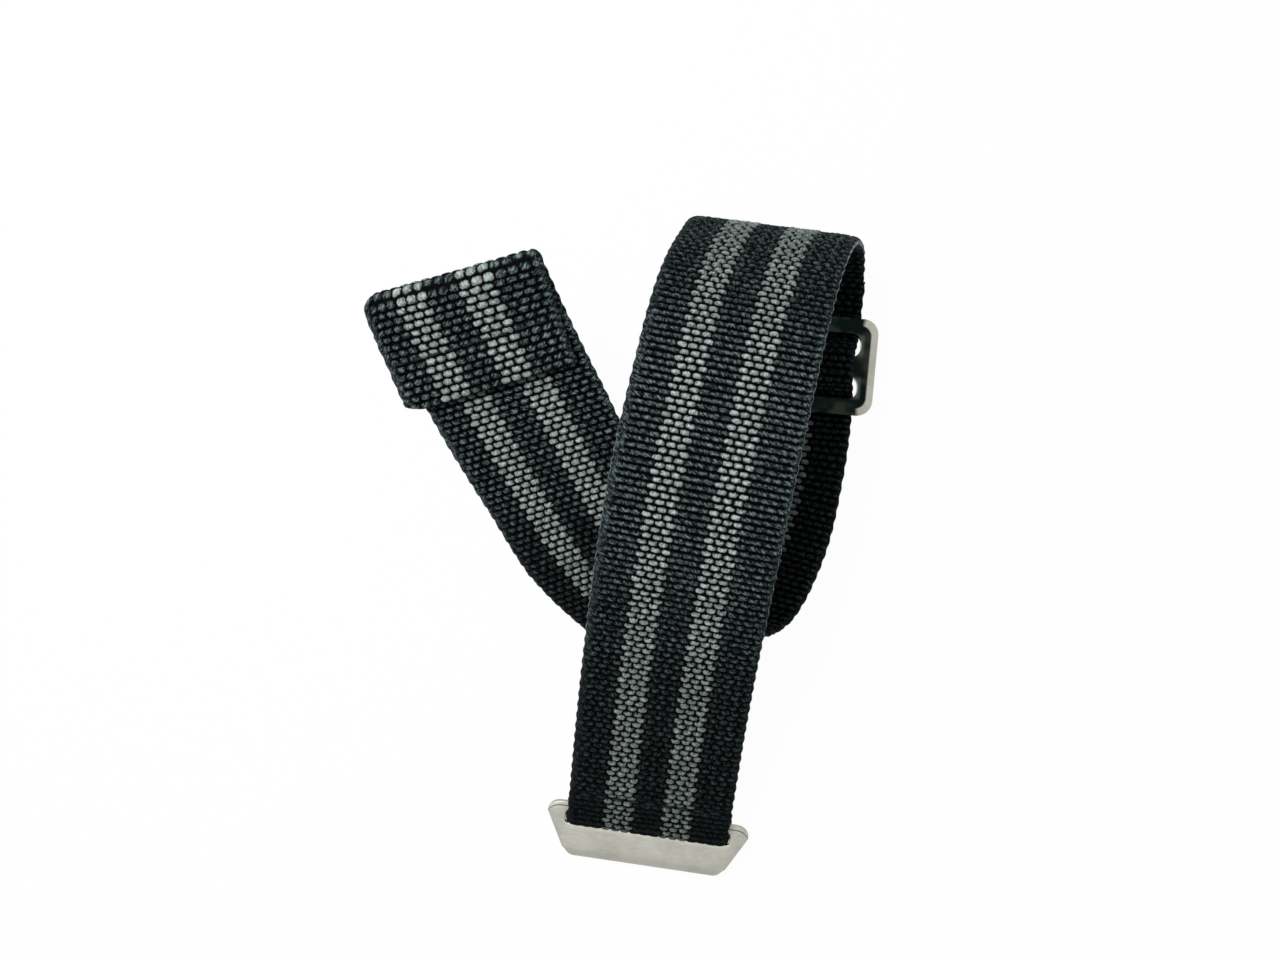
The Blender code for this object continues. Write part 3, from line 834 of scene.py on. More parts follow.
@dataclass
class Wiring:
    """Short ways to add and join shader nodes in one tree."""

    tree: bpy.types.NodeTree

    def put(self, socket: bpy.types.NodeSocket, value: object) -> None:
        """Join a socket to a node's value, or set its own."""
        if isinstance(value, Value):
            self.tree.links.new(value.socket, socket)
        else:
            socket.default_value = value

    def node(self, kind: str, inputs: dict | None = None, **settings: object) -> bpy.types.Node:
        """Add a node with its plain properties and its inputs, by name or number."""
        node = self.tree.nodes.new(kind)
        for key, value in settings.items():
            setattr(node, key, value)
        for key, value in (inputs or {}).items():
            self.put(node.inputs[key], value)
        return node

    def value(
        self, kind: str, inputs: dict | None = None, output: int | str = 0, **settings: object
    ) -> Value:
        """Add a node and give one of its outputs."""
        return Value(self, self.node(kind, inputs, **settings).outputs[output])

    def math(
        self, operation: str, first: Value | float, second: Value | float, clamp: bool = False
    ) -> Value:
        """A Math node of two values."""
        inputs = {0: first, 1: second}
        return self.value("ShaderNodeMath", inputs, operation=operation, use_clamp=clamp)

    def smooth(
        self, value: Value, low: float, high: float, start: float = 0.0, end: float = 1.0
    ) -> Value:
        """A smooth step from one value to another."""
        inputs = dict(enumerate((value, low, high, start, end)))
        return self.value("ShaderNodeMapRange", inputs, interpolation_type="SMOOTHSTEP")

    def eased(self, value: Value, levels: Levels) -> Value | float:
        """A level that eases from each listed place to the next."""
        level: Value | float = levels[0][1]
        for (first, low), (last, high) in zip(levels, levels[1:]):
            if high != low:
                level = self.smooth(value, first, last, 0.0, high - low) + level
        return level

    def blend(self, share: Value, first: object, second: object) -> Value:
        """A mix of two colours."""
        inputs = {0: share, 6: first, 7: second}
        return self.value("ShaderNodeMix", inputs, 2, data_type="RGBA")

    def noise(
        self,
        vector: Value,
        scale: float,
        detail: float = 2.0,
        rough: float = 0.5,
        output: int | str = 0,
    ) -> Value:
        """A noise texture's value, or its colour."""
        inputs = {"Vector": vector, "Scale": scale, "Detail": detail, "Roughness": rough}
        return self.value("ShaderNodeTexNoise", inputs, output)

    def scaled(self, vector: Value, scale: tuple[float, float, float], turn: float = 0.0) -> Value:
        """A vector scaled and turned about Z, in degrees."""
        rotation = (0.0, 0.0, math.radians(turn))
        inputs = {"Vector": vector, "Scale": scale, "Rotation": rotation}
        return self.value("ShaderNodeMapping", inputs)

    def split(self, vector: Value) -> list[Value]:
        """The three parts of a vector or a colour."""
        node = self.node("ShaderNodeSeparateXYZ", {0: vector})
        return [Value(self, socket) for socket in node.outputs]

    def bump(self, shader: bpy.types.Node, height: Value, strength: float, depth: float) -> None:
        """Let a height ripple a shader's normal."""
        inputs = {"Height": height, "Strength": strength, "Distance": depth}
        self.put(shader.inputs["Normal"], self.value("ShaderNodeBump", inputs))


class Effect(Enum):
    """Shared shader effects, each a node group."""

    WEAVE_CELL = "weave_cell"
    YARN_FIBRE = "yarn_fibre"
    METAL_GRAIN = "metal_grain"


@dataclass(frozen=True)
class WeaveMasks:
    """Where the masks of the weave begin and where they are full.

    Attributes:
        ragged: How far noise pushes a knot's outline, in columns and in rows.
        ragged_scale: The scale of that noise.
        gap: Distances from a knot's middle between which the gap's painted shade begins.
        black_gap: How much sooner that painted shade begins between black knots.
        top: Distances between which a knot's top rises, where it is painted lighter.
        winding: Heights of a winding between which it sinks into a groove, painted in shade.
        groove: How dark that painted shade is at the left edge, and how much darker at the right
            one.
        rim: Distances from the middle between which stray fibres get a painted highlight.
        rim_places: Places along the webbing, in millimetres, between which that highlight begins.
    """

    ragged: tuple[float, float] = (0.30, 0.36)
    ragged_scale: float = 2.7
    gap: tuple[float, float] = (0.76, 1.02)
    black_gap: float = 0.06
    top: tuple[float, float] = (1.0, 0.1)
    winding: tuple[float, float] = (0.55, 0.12)
    groove: tuple[float, float] = (0.4, 0.5)
    rim: tuple[float, float] = (9.93 * MM, 9.985 * MM)
    rim_places: tuple[float, float] = (98.0, 88.0)


@dataclass(frozen=True)
class Strands:
    """How a yarn's strands look.

    Attributes:
        stretch: How fine its speckle is across, along and through the yarn.
        rough: The roughness of that speckle's noise.
        speckle: Values of the noise between which the speckle begins.
        wander: How far the strands wander, and the scale of it.
        shares: The shares of the strands and of the speckle.
        mottle: Scale, detail and roughness of the slower mottle.
    """

    stretch: tuple[float, float, float] = (4.3, 1.7, 1.0)
    rough: float = 0.75
    speckle: tuple[float, float] = (0.44, 0.55)
    wander: tuple[float, float] = (7.0, 2.6)
    shares: tuple[float, float] = (0.3, 0.7)
    mottle: tuple[float, float, float] = (1.7, 3.0, 0.6)


@dataclass(frozen=True)
class Brushed:
    """How a brushed steel looks, on coordinates in metres.

    Attributes:
        lines: How fine the grain is along each axis.
        grain: Scale, detail and roughness of the grain.
        stain: Scale, detail and roughness of the stains.
        pit_scale: How fine the pits are.
        pit: Values of their noise between which a pit begins.
    """

    lines: tuple[float, float, float] = (900.0, 7000.0, 7000.0)
    grain: tuple[float, float, float] = (1.0, 3.0, 0.55)
    stain: tuple[float, float, float] = (320.0, 4.0, 0.6)
    pit_scale: float = 3600.0
    pit: tuple[float, float] = (0.66, 0.78)


class Effects:
    """Builds the shared node groups once and puts them into materials."""

    def __init__(self) -> None:
        """Build every group."""
        self.trees = {
            Effect.WEAVE_CELL: self._weave_cell(),
            Effect.YARN_FIBRE: self._yarn_fibre(),
            Effect.METAL_GRAIN: self._metal_grain(),
        }

    @staticmethod
    def _tree(
        effect: Effect, vector: str, numbers: tuple[str, ...], outputs: tuple[str, ...]
    ) -> tuple[Wiring, dict[str, Value], dict[str, bpy.types.NodeSocket]]:
        """Start a node group.

        Args:
            effect: The effect, which names the group.
            vector: The name of its vector input.
            numbers: The names of its number inputs.
            outputs: The names of its outputs, all of them numbers.

        Returns:
            Its wiring, the values that it is given and the sockets that it has to fill.
        """
        tree = bpy.data.node_groups.new(effect.value, "ShaderNodeTree")
        tree.interface.new_socket(vector, in_out="INPUT", socket_type="NodeSocketVector")
        for name in numbers:
            tree.interface.new_socket(name, in_out="INPUT", socket_type="NodeSocketFloat")
        for name in outputs:
            tree.interface.new_socket(name, in_out="OUTPUT", socket_type="NodeSocketFloat")
        wiring = Wiring(tree)
        source, target = wiring.node("NodeGroupInput"), wiring.node("NodeGroupOutput")
        given = {name: Value(wiring, source.outputs[name]) for name in (vector, *numbers)}
        return wiring, given, {name: target.inputs[name] for name in outputs}

    def _weave_cell(self) -> bpy.types.NodeTree:
        """Masks and tones of the weave, the same knots as in its relief.

        Grey is 1 on the stripes and Edge on the wound edge. The gap mask is 1 between knots and
        windings, which are painted in shade, and the top mask is 1 on a knot's top, which is
        painted lighter. The rim mask marks the wound edge's very end for a painted highlight. Tone
        differs from knot to knot. The last two outputs are the painted light and shade of the black
        and the grey yarns along the webbing.
        """
        names = ("Grey", "GapShade", "LitTop", "Tone", "Edge", "RimHighlight", "BlackPaintedLight", "GreyPaintedLight")
        wiring, given, wanted = self._tree(Effect.WEAVE_CELL, "Weave", (), names)
        sizes, masks = WEBBING, WeaveMasks()
        across, rows, _ = wiring.split(given["Weave"])
        row = rows.math("FLOOR")
        parity = row.math("FLOORED_MODULO", 2.0) * 2.0 - 1.0
        shifted = across - parity * sizes.row_shift
        column = shifted.math("ROUND")
        warp = wiring.noise(given["Weave"], masks.ragged_scale, output="Color")
        pushed, raised = (
            (part - 0.5) * share for part, share in zip(wiring.split(warp)[:2], masks.ragged)
        )
        local = abs(shifted - column + pushed)
        local_row = abs(rows.math("FRACT") - 0.5 + raised)

        away = abs(column)
        first, last = sizes.stripe
        grey = away.math("GREATER_THAN", first) * away.math("LESS_THAN", last)
        black = 1.0 - grey
        place = rows * (sizes.row / MM)
        joined = wiring.eased(place, JOINED) * black
        wide = joined * (sizes.joined_width - sizes.knot_width) + sizes.knot_width
        high = wiring.eased(place, OPENED) * sizes.open_height + sizes.knot_height
        side = (local * 2.0 * wide) ** sizes.knot_power
        length = (local_row * 2.0 * high) ** sizes.knot_power
        radius = (side + length) ** (1.0 / sizes.knot_power)
        gap = wiring.smooth(black * masks.black_gap + radius, *masks.gap)
        pair = wiring.value("ShaderNodeCombineXYZ", {0: column, 1: row})
        tone = wiring.value(
            "ShaderNodeTexWhiteNoise", {"Vector": pair}, "Value", noise_dimensions="2D"
        )

        middle = across + sizes.pattern_offset / sizes.column
        right = middle.math("GREATER_THAN", 0.0)
        inset = (sizes.selvedge_right - sizes.selvedge) / sizes.column
        past = abs(middle) - (right * inset + sizes.selvedge / sizes.column)
        edge = wiring.smooth(past, 0.0, sizes.selvedge_run / sizes.column)
        slant = rows - past * (sizes.selvedge_lean * sizes.column / sizes.row)
        wound = abs((slant * math.pi).math("SINE"))
        strength = right * masks.groove[1] + masks.groove[0]
        between = wiring.smooth(wound, *masks.winding) * strength
        border = [distance / sizes.column for distance in masks.rim]
        rim = wiring.smooth(abs(middle), *border) * wiring.smooth(place, *masks.rim_places)

        found = {
            "Grey": grey,
            "GapShade": (between - gap) * edge + gap,
            "LitTop": wiring.smooth(radius, *masks.top),
            "Tone": tone,
            "Edge": edge,
            "RimHighlight": rim,
            "BlackPaintedLight": wiring.eased(place, BLACK_PAINTED_LIGHT),
            "GreyPaintedLight": wiring.eased(place, GREY_PAINTED_LIGHT),
        }
        for name, value in found.items():
            wiring.put(wanted[name], value)
        return wiring.tree

    def _yarn_fibre(self) -> bpy.types.NodeTree:
        """Fine strands along a slanted yarn, and a slower mottle."""
        names = ("Strand", "Mottle")
        wiring, given, wanted = self._tree(Effect.YARN_FIBRE, "Weave", ("Turn", "Pitch"), names)
        weave, strands = given["Weave"], Strands()
        inputs = {"Vector": weave, "Angle": given["Turn"]}
        turned = wiring.value("ShaderNodeVectorRotate", inputs, rotation_type="Z_AXIS")
        fine = wiring.noise(wiring.scaled(turned, strands.stretch), 1.0, rough=strands.rough)
        far, scale = strands.wander
        wander = wiring.noise(weave, scale) * far
        ridge = abs((wiring.split(turned)[0] * given["Pitch"] + wander).math("SINE"))
        speckle = wiring.smooth(fine, *strands.speckle)
        share, rest = strands.shares
        wiring.put(wanted["Strand"], ridge * share + speckle * rest)
        wiring.put(wanted["Mottle"], wiring.noise(weave, *strands.mottle))
        return wiring.tree

    def _metal_grain(self) -> bpy.types.NodeTree:
        """Fine brushed grain, small pits and slow stains of a satin steel."""
        names = ("Grain", "Stain", "Pit")
        wiring, given, wanted = self._tree(Effect.METAL_GRAIN, "Vector", (), names)
        where, brushed = given["Vector"], Brushed()
        lines = wiring.scaled(where, brushed.lines)
        wiring.put(wanted["Grain"], wiring.noise(lines, *brushed.grain))
        wiring.put(wanted["Stain"], wiring.noise(where, *brushed.stain))
        pits = wiring.noise(where, brushed.pit_scale)
        wiring.put(wanted["Pit"], wiring.smooth(pits, *brushed.pit))
        return wiring.tree

    def use(self, wiring: Wiring, effect: Effect, **values: object) -> dict[str, Value]:
        """Put an effect into a material and give its outputs by name."""
        node = wiring.node("ShaderNodeGroup", node_tree=self.trees[effect])
        for name, value in values.items():
            wiring.put(node.inputs[name], value)
        return {socket.name: Value(wiring, socket) for socket in node.outputs}


def new_material(name: str) -> tuple[bpy.types.Material, Wiring, bpy.types.Node]:
    """A new material with its wiring and its main shader."""
    material = bpy.data.materials.new(name)
    material.use_nodes = True
    shader = material.node_tree.nodes["Principled BSDF"]
    return material, Wiring(material.node_tree), shader


@dataclass(frozen=True)
class YarnTone:
    """How a yarn's light is shared out.

    Attributes:
        spread: The share of the knot's own tone.
        rounded: The share of the painted shading of the knot's rounded top. The strands have the
            rest.
        power: How far the light is gathered into the lightest strands.
    """

    spread: float
    rounded: float
    power: float = 1.0

    def light(self, yarn: dict[str, Value], cell: dict[str, Value]) -> Value:
        """A level from 0 to 1 for a yarn's strands on the weave's knots."""
        strands = yarn["Strand"] * (1.0 - self.spread - self.rounded)
        return (strands + cell["Tone"] * self.spread + cell["LitTop"] * self.rounded) ** self.power


@dataclass(frozen=True)
class WebbingFinish:
    """Colours of the woven elastic, from the deepest to the lightest of each yarn."""

    name: str = "woven_elastic"
    grey_low: Colour = (0.022, 0.030, 0.028, 1.0)
    grey_high: Colour = (0.610, 0.710, 0.675, 1.0)
    black_low: Colour = (0.0010, 0.0020, 0.0024, 1.0)
    # The lightest black is a painted glint on the black yarn's shiny strands.
    black_glint: Colour = (0.270, 0.360, 0.372, 1.0)
    # A pale colour for the wound edge's stray fibres, painted as a highlight where they catch
    # light.
    fuzz_highlight: Colour = (0.480, 0.550, 0.550, 1.0)
    # The colour of the painted shade in the gaps between knots and windings.
    groove: Colour = (0.0006, 0.0008, 0.0009, 1.0)
    grey_tone: YarnTone = YarnTone(0.16, 0.34)
    # The black's high power gathers its light into sparse painted glints on the lightest strands.
    black_tone: YarnTone = YarnTone(0.12, 0.26, 2.7)
    grey_turn: float = 14.0
    black_turn: float = -36.0
    strand_pitch: float = 9.5
    bump: float = 0.9
    bump_depth: float = 0.13 * MM
    gloss: float = 0.04
    roughness: float = 0.56

    def make(self, effects: Effects) -> bpy.types.Material:
        """Build the material on the weave's own coordinates."""
        material, wiring, shader = new_material(self.name)
        weave = wiring.value("ShaderNodeUVMap", uv_map="weave")
        cell = effects.use(wiring, Effect.WEAVE_CELL, Weave=weave)
        grey_yarn, black_yarn = (
            effects.use(
                wiring,
                Effect.YARN_FIBRE,
                Weave=weave,
                Turn=math.radians(turn),
                Pitch=self.strand_pitch,
            )
            for turn in (self.grey_turn, self.black_turn)
        )
        # Each yarn's tone is scaled by the painted light and shade along the webbing.
        pale = self.grey_tone.light(grey_yarn, cell) * cell["GreyPaintedLight"]
        dark = self.black_tone.light(black_yarn, cell) * cell["BlackPaintedLight"]
        grey = wiring.blend(pale, self.grey_low, self.grey_high)
        black = wiring.blend(dark, self.black_low, self.black_glint)
        colour = wiring.blend(cell["Grey"], black, grey)
        colour = wiring.blend(cell["Edge"], colour, black)
        # The gaps between knots and windings are painted in shade.
        colour = wiring.blend(cell["GapShade"], colour, self.groove)
        # Stray fibres at the wound edge's end get a painted highlight where the painted light is
        # strong.
        patches = wiring.smooth(grey_yarn["Mottle"], 0.32, 0.58)
        fluff_highlight = cell["RimHighlight"] * patches * wiring.smooth(cell["BlackPaintedLight"], 0.04, 0.5)
        wiring.put(shader.inputs["Base Color"], wiring.blend(fluff_highlight, colour, self.fuzz_highlight))
        wiring.put(shader.inputs["Specular IOR Level"], self.gloss)
        wiring.put(shader.inputs["Roughness"], self.roughness)
        height = grey_yarn["Strand"] + black_yarn["Strand"]
        wiring.bump(shader, height, self.bump, self.bump_depth)
        return material


@dataclass(frozen=True)
class ThreadFinish:
    """Black sewing thread."""

    name: str = "sewing_thread"
    low: Colour = (0.002, 0.003, 0.003, 1.0)
    high: Colour = (0.010, 0.013, 0.014, 1.0)
    bump: float = 0.7
    bump_depth: float = 0.04 * MM
    gloss: float = 0.15
    roughness: float = 0.62

    def make(self, effects: Effects) -> bpy.types.Material:
        """Build the thread's material on object coordinates."""
        material, wiring, shader = new_material(self.name)
        where = wiring.value("ShaderNodeTexCoord", output="Object")
        twist = wiring.noise(wiring.scaled(where, (5200.0, 1400.0, 5200.0), 35.0), 1.0)
        colour = wiring.blend(wiring.smooth(twist, 0.35, 0.7), self.low, self.high)
        wiring.put(shader.inputs["Base Color"], colour)
        wiring.put(shader.inputs["Roughness"], self.roughness)
        wiring.put(shader.inputs["Specular IOR Level"], self.gloss)
        wiring.bump(shader, twist, self.bump, self.bump_depth)
        return material


@dataclass(frozen=True)
class SteelFinish:
    """Satin steel with a fine grain.

    Attributes:
        name: The material's name.
        colour: The clean steel.
        stained: The steel where it has dulled.
        roughness: Its smoothest and dullest roughness.
        dark: The painted shade of a flat face, or None where the whole piece keeps its steel
            colour.
        reflection_tone: The lightest painted reflection on that shaded face.
        rim: Sizes of the piece whose rounded sides stay lit steel beside its face in painted shade.
        slot_reflection: The paler painted reflection at the slots' ends.
        shade_line: Sizes of the plate that has a thin painted shade line beside its wide edge.
        shade_line_tone: The tone of that painted shade line.
    """

    name: str
    colour: Colour = (0.410, 0.405, 0.360, 1.0)
    stained: Colour = (0.335, 0.335, 0.290, 1.0)
    roughness: tuple[float, float] = (0.34, 0.50)
    dark: Colour | None = None
    reflection_tone: Colour = (0.020, 0.025, 0.018, 1.0)
    rim: SliderSizes | None = None
    slot_reflection: Colour = (0.060, 0.068, 0.054, 1.0)
    shade_line: HookSizes | None = None
    shade_line_tone: Colour = (0.045, 0.045, 0.038, 1.0)
    bump: float = 0.25
    bump_depth: float = 0.01 * MM

    def make(self, effects: Effects) -> bpy.types.Material:
        """Build the steel's material on object coordinates."""
        material, wiring, shader = new_material(self.name)
        where = wiring.value("ShaderNodeTexCoord", output="Object")
        grain = effects.use(wiring, Effect.METAL_GRAIN, Vector=where)
        stain = wiring.smooth(grain["Stain"], 0.35, 0.75)
        colour = wiring.blend(stain, self.colour, self.stained)
        # The slider's flat face is painted in shade, with painted reflections on it and at its
        # slots' ends; only its rounded sides keep the steel's own colour, as if lit.
        if self.dark and self.rim:
            glow = wiring.smooth(wiring.noise(where, 420.0, 1.0), 0.46, 0.66)
            face = wiring.blend(glow, self.dark, self.reflection_tone)
            face = wiring.blend(self._slot_reflection_mask(wiring, where, self.rim), face, self.slot_reflection)
            colour = wiring.blend(self._lit_rim_mask(wiring, where, self.rim), face, colour)
        # A thin line of painted shade beside the wide edge, where a shaded bevel would show.
        if self.shade_line:
            colour = wiring.blend(self._shade_line_mask(wiring, self.shade_line), colour, self.shade_line_tone)
        wiring.put(shader.inputs["Base Color"], colour)
        rough = wiring.smooth(grain["Grain"], 0.3, 0.7, *self.roughness)
        wiring.put(shader.inputs["Roughness"], rough)
        wiring.put(shader.inputs["Metallic"], 1.0)
        wiring.bump(shader, grain["Grain"] - grain["Pit"] * 0.8, self.bump, self.bump_depth)
        return material

    def _lit_rim_mask(self, wiring: Wiring, where: Value, sizes: SliderSizes) -> Value:
        """1 on the rounded outline's sides, left as lit steel, and 0 on the flat face in painted
        shade.
        """
        halves = (sizes.width / 2, sizes.middle_bar / 2 + sizes.slot + sizes.outer_bar)
        side, along = (
            (abs(value - middle) - (half - sizes.corner)).math("MAXIMUM", 0.0)
            for value, middle, half in zip(wiring.split(where), sizes.centre, halves)
        )
        away = (side * side + along * along).math("SQRT")
        band = wiring.smooth(away, sizes.corner - 0.95 * MM, sizes.corner - 0.72 * MM)
        return band * wiring.smooth(side / away.math("MAXIMUM", HAIR), 0.05, 0.4)

    def _slot_reflection_mask(self, wiring: Wiring, where: Value, sizes: SliderSizes) -> Value:
        """1 at the slots' ends, where a paler reflection is painted, and 0 away from them."""
        parts = zip(wiring.split(where)[:2], sizes.centre)
        side, along = (abs(value - middle) for value, middle in parts)
        cheek, bar = sizes.slot_width / 2, sizes.middle_bar / 2
        far = bar + sizes.slot
        beside = wiring.smooth(side, cheek + 0.50 * MM, cheek + 0.05 * MM)
        below = wiring.smooth(along, bar - 0.1 * MM, bar + 0.5 * MM)
        return beside * below * wiring.smooth(along, far + 0.1 * MM, far - 0.5 * MM)

    def _shade_line_mask(self, wiring: Wiring, sizes: HookSizes) -> Value:
        """1 on a thin painted shade line beside the plate's wide edge, which follows its rounded
        tips.
        """
        side, along, _ = wiring.split(wiring.value("ShaderNodeUVMap", uv_map="plate"))
        off = abs(side) - sizes.top / MM
        share = off.math("DIVIDE", (sizes.tip - sizes.top) / MM, clamp=True)
        inset = (1.0 - share * share).math("SQRT") * (sizes.tip_setback / MM) + along
        away = abs(inset - (sizes.tip_setback + sizes.shade_line) / MM)
        return wiring.smooth(away, 0.12, 0.03, 0.0, 0.8)


def bevel(bm: bmesh.types.BMesh, edges: list, width: float, segments: int) -> None:
    """Round some edges of a bmesh."""
    bmesh.ops.bevel(
        bm,
        geom=edges,
        offset=width,
        offset_type="OFFSET",
        segments=segments,
        profile=0.5,
        affect="EDGES",
        clamp_overlap=True,
        material=-1,
    )


def raise_sheet(bm: bmesh.types.BMesh) -> set[bmesh.types.BMVert]:
    """Close a flat sheet with a second face and walls, and give the new face's points."""
    raised = bmesh.ops.extrude_face_region(bm, geom=list(bm.faces), use_keep_orig=True)
    return {item for item in raised["geom"] if isinstance(item, bmesh.types.BMVert)}


def upright(edge: bmesh.types.BMEdge) -> bool:
    """Whether an edge runs along Z."""
    return abs((edge.verts[0].co - edge.verts[1].co).normalized().z) > 0.99


@dataclass
class Slider:
    """The three-bar slider on the rear run."""

    sizes: SliderSizes = SLIDER

    def plate(self) -> bmesh.types.BMesh:
        """A flat plate about the plane z = 0 with square edges and its two slots."""
        sizes = self.sizes
        edge, cheek, bar = sizes.width / 2, sizes.slot_width / 2, sizes.middle_bar / 2
        far = bar + sizes.slot
        top = far + sizes.outer_bar
        across, along = (-edge, -cheek, cheek, edge), (-top, -far, -bar, bar, far, top)
        columns, rows = len(across) - 1, len(along) - 1
        bm = bmesh.new()
        bmesh.ops.create_grid(bm, x_segments=columns, y_segments=rows, size=0.5)
        for vert in bm.verts:
            column, row = round((vert.co.x + 0.5) * columns), round((vert.co.y + 0.5) * rows)
            vert.co = (across[column], along[row], -sizes.thickness / 2)
        middles = [(face, face.calc_center_median()) for face in bm.faces]
        slots = [face for face, at in middles if abs(at.x) < cheek and bar < abs(at.y) < far]
        bmesh.ops.delete(bm, geom=slots, context="FACES")
        tops = list(raise_sheet(bm))
        bmesh.ops.translate(bm, verts=tops, vec=(0.0, 0.0, sizes.thickness))
        bmesh.ops.recalc_face_normals(bm, faces=bm.faces)
        return bm

    def build(self, steel: bpy.types.Material) -> bpy.types.Object:
        """Make the slider and hand it to its body."""
        sizes = self.sizes
        bm = self.plate()
        cheek = sizes.slot_width / 2
        outside, inside = [], []
        for item in filter(upright, bm.edges):
            past_cheek = abs(item.verts[0].co.x) - cheek
            bent = item.calc_face_angle(0.0) > 1.0
            if past_cheek > HAIR and bent:
                outside.append(item)
            elif abs(past_cheek) < HAIR and bent:
                inside.append(item)
        bevel(bm, outside, sizes.corner, 10)
        bevel(bm, inside, sizes.slot_corner, 6)
        bmesh.ops.dissolve_limit(bm, angle_limit=0.01, verts=bm.verts, edges=bm.edges)
        bmesh.ops.triangulate(bm, faces=[face for face in bm.faces if len(face.verts) > 4])
        bevel(bm, self.rims(bm), sizes.rounding, 5)
        bmesh.ops.translate(bm, verts=bm.verts, vec=sizes.centre)
        bmesh.ops.recalc_face_normals(bm, faces=bm.faces)
        piece = finished(bm, "slider_plate", steel)
        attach(piece, "slider")
        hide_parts("slider")
        return piece

    @staticmethod
    def rims(bm: bmesh.types.BMesh) -> list[bmesh.types.BMEdge]:
        """Edges where the flat faces meet the walls."""
        steep = math.radians(60)
        paired = [edge for edge in bm.edges if len(edge.link_faces) == 2]
        return [edge for edge in paired if edge.calc_face_angle(0.0) > steep and not upright(edge)]


@dataclass
class HookPlate:
    """The hook plate: a tapered sheet whose narrow end curls under into a lip.

    Attributes:
        path: The webbing's path, whose start gives the plate its place.
        sizes: The plate's sizes.
        shares: Places across it, as shares of its half width.
        cheek_share: The one of them that lies on the slot's end.
        wide_edge: Places near its wide edge, where the tips are round.
        slot_steps: Places within the slot, from its start and back from its end.
    """

    path: WebbingPath
    sizes: HookSizes = HOOK
    shares: tuple[float, ...] = (-1.0, -0.93, -0.6, -0.3, 0.0, 0.3, 0.6, 0.93, 1.0)
    cheek_share: float = 0.93
    wide_edge: tuple[float, ...] = (0.0, 0.06 * MM, 0.18 * MM, 0.4 * MM, 0.7 * MM)
    slot_steps: tuple[float, float] = (0.4 * MM, 0.5 * MM)

    def __post_init__(self) -> None:
        """Work out the slot's and the curl's places along the sheet."""
        sizes = self.sizes
        self.slot_end = sizes.bar + sizes.slot
        self.curl_radius = (sizes.mouth + sizes.sheet) / 2
        self.curl_start = sizes.height - self.curl_radius - sizes.sheet / 2
        self.curl_end = self.curl_start + math.pi * self.curl_radius

    def frame(self) -> Matrix:
        """The plate's place, with its origin on the bar's axis."""
        where, basis = self.path.main.frame(0.0)
        across = -Vector(basis[:, 0])
        level = Vector((0.0, 0.0, 1.0)).cross(across).normalized()
        pitch = math.radians(self.sizes.pitch)
        along = level * math.cos(pitch) - Vector((0.0, 0.0, math.sin(pitch)))
        upward = across.cross(along).normalized()
        turned = Matrix((across, upward.cross(across), upward)).transposed().to_4x4()
        return Matrix.Translation(Vector(where) - Vector(basis[:, 2]) * LOOP.radius) @ turned

    def half_width(self, along: float) -> float:
        """Half of the plate's width at a distance from its wide edge."""
        sizes = self.sizes
        if along < sizes.tip_setback:
            share = 1.0 - along / sizes.tip_setback
            return sizes.top + (sizes.tip - sizes.top) * math.sqrt(1.0 - share * share)
        share = (along - sizes.tip_setback) / (sizes.height - sizes.tip_setback)
        width = sizes.tip + (sizes.narrow - sizes.tip) * share
        rounded = max(0.0, 1.0 - (sizes.height - along) / sizes.narrow_rounding)
        return width - sizes.narrow_cut * rounded**sizes.narrow_power

    def curled(self, along: float, lift: float) -> tuple[float, float]:
        """Where a point of the sheet comes to lie.

        Args:
            along: Its distance from the wide edge along the sheet.
            lift: Its height above the sheet's middle layer.

        Returns:
            Its distance from the wide edge and its level, once the end is curled under.
        """
        if along <= self.curl_start:
            return along, lift
        turn = min((along - self.curl_start) / self.curl_radius, math.pi)
        past = max(0.0, along - self.curl_end)
        reach = self.curl_radius + lift
        plan = self.curl_start + reach * math.sin(turn) - past
        return plan, reach * math.cos(turn) - self.curl_radius

    def side(self, share: float, along: float) -> float:
        """How far a point lies to one side, so that the slot's end stays straight."""
        sizes = self.sizes
        plan, _ = self.curled(along, 0.0)
        if along > self.curl_start:
            plan += sizes.sheet / 2
        half = self.half_width(min(max(plan, 0.0), sizes.height))
        if abs(share) > self.cheek_share:
            return share * half
        return share / self.cheek_share * min(sizes.slot_width / 2, half - sizes.cheek)

    def stations(self) -> list[float]:
        """Places along the sheet, from its wide edge to the end of its lip."""
        sizes = self.sizes
        after_start, before_end = self.slot_steps
        slot = [sizes.bar, sizes.bar + after_start, self.slot_end - before_end, self.slot_end]
        flat = np.linspace(self.slot_end, self.curl_start, 5)[1:]
        curl = np.linspace(self.curl_start, self.curl_end, 13)[1:]
        lip = np.linspace(self.curl_end, self.curl_end + sizes.lip, 4)[1:]
        return [*self.wide_edge, *slot, *flat, *curl, *lip]

    def sheet(self) -> bmesh.types.BMesh:
        """The closed sheet with its slot and its curled end, with square edges."""
        sizes, stations = self.sizes, self.stations()
        columns, rows = len(self.shares) - 1, len(stations) - 1
        bm = bmesh.new()
        bmesh.ops.create_grid(bm, x_segments=columns, y_segments=rows, size=0.5)
        for vert in bm.verts:
            share = self.shares[round((vert.co.x + 0.5) * columns)]
            along = stations[round((vert.co.y + 0.5) * rows)]
            vert.co = (self.side(share, along), along, 0.0)
        middles = [(face, face.calc_center_median()) for face in bm.faces]
        slot = [
            face
            for face, at in middles
            if sizes.bar < at.y < self.slot_end and abs(at.x) < sizes.slot_width / 2
        ]
        bmesh.ops.delete(bm, geom=slot, context="FACES")
        tops = raise_sheet(bm)
        for vert in bm.verts:
            lift = sizes.sheet / 2 if vert in tops else -sizes.sheet / 2
            plan, level = self.curled(vert.co.y, lift)
            vert.co = (vert.co.x, plan - sizes.bar / 2, level)
        bmesh.ops.recalc_face_normals(bm, faces=bm.faces)
        return bm

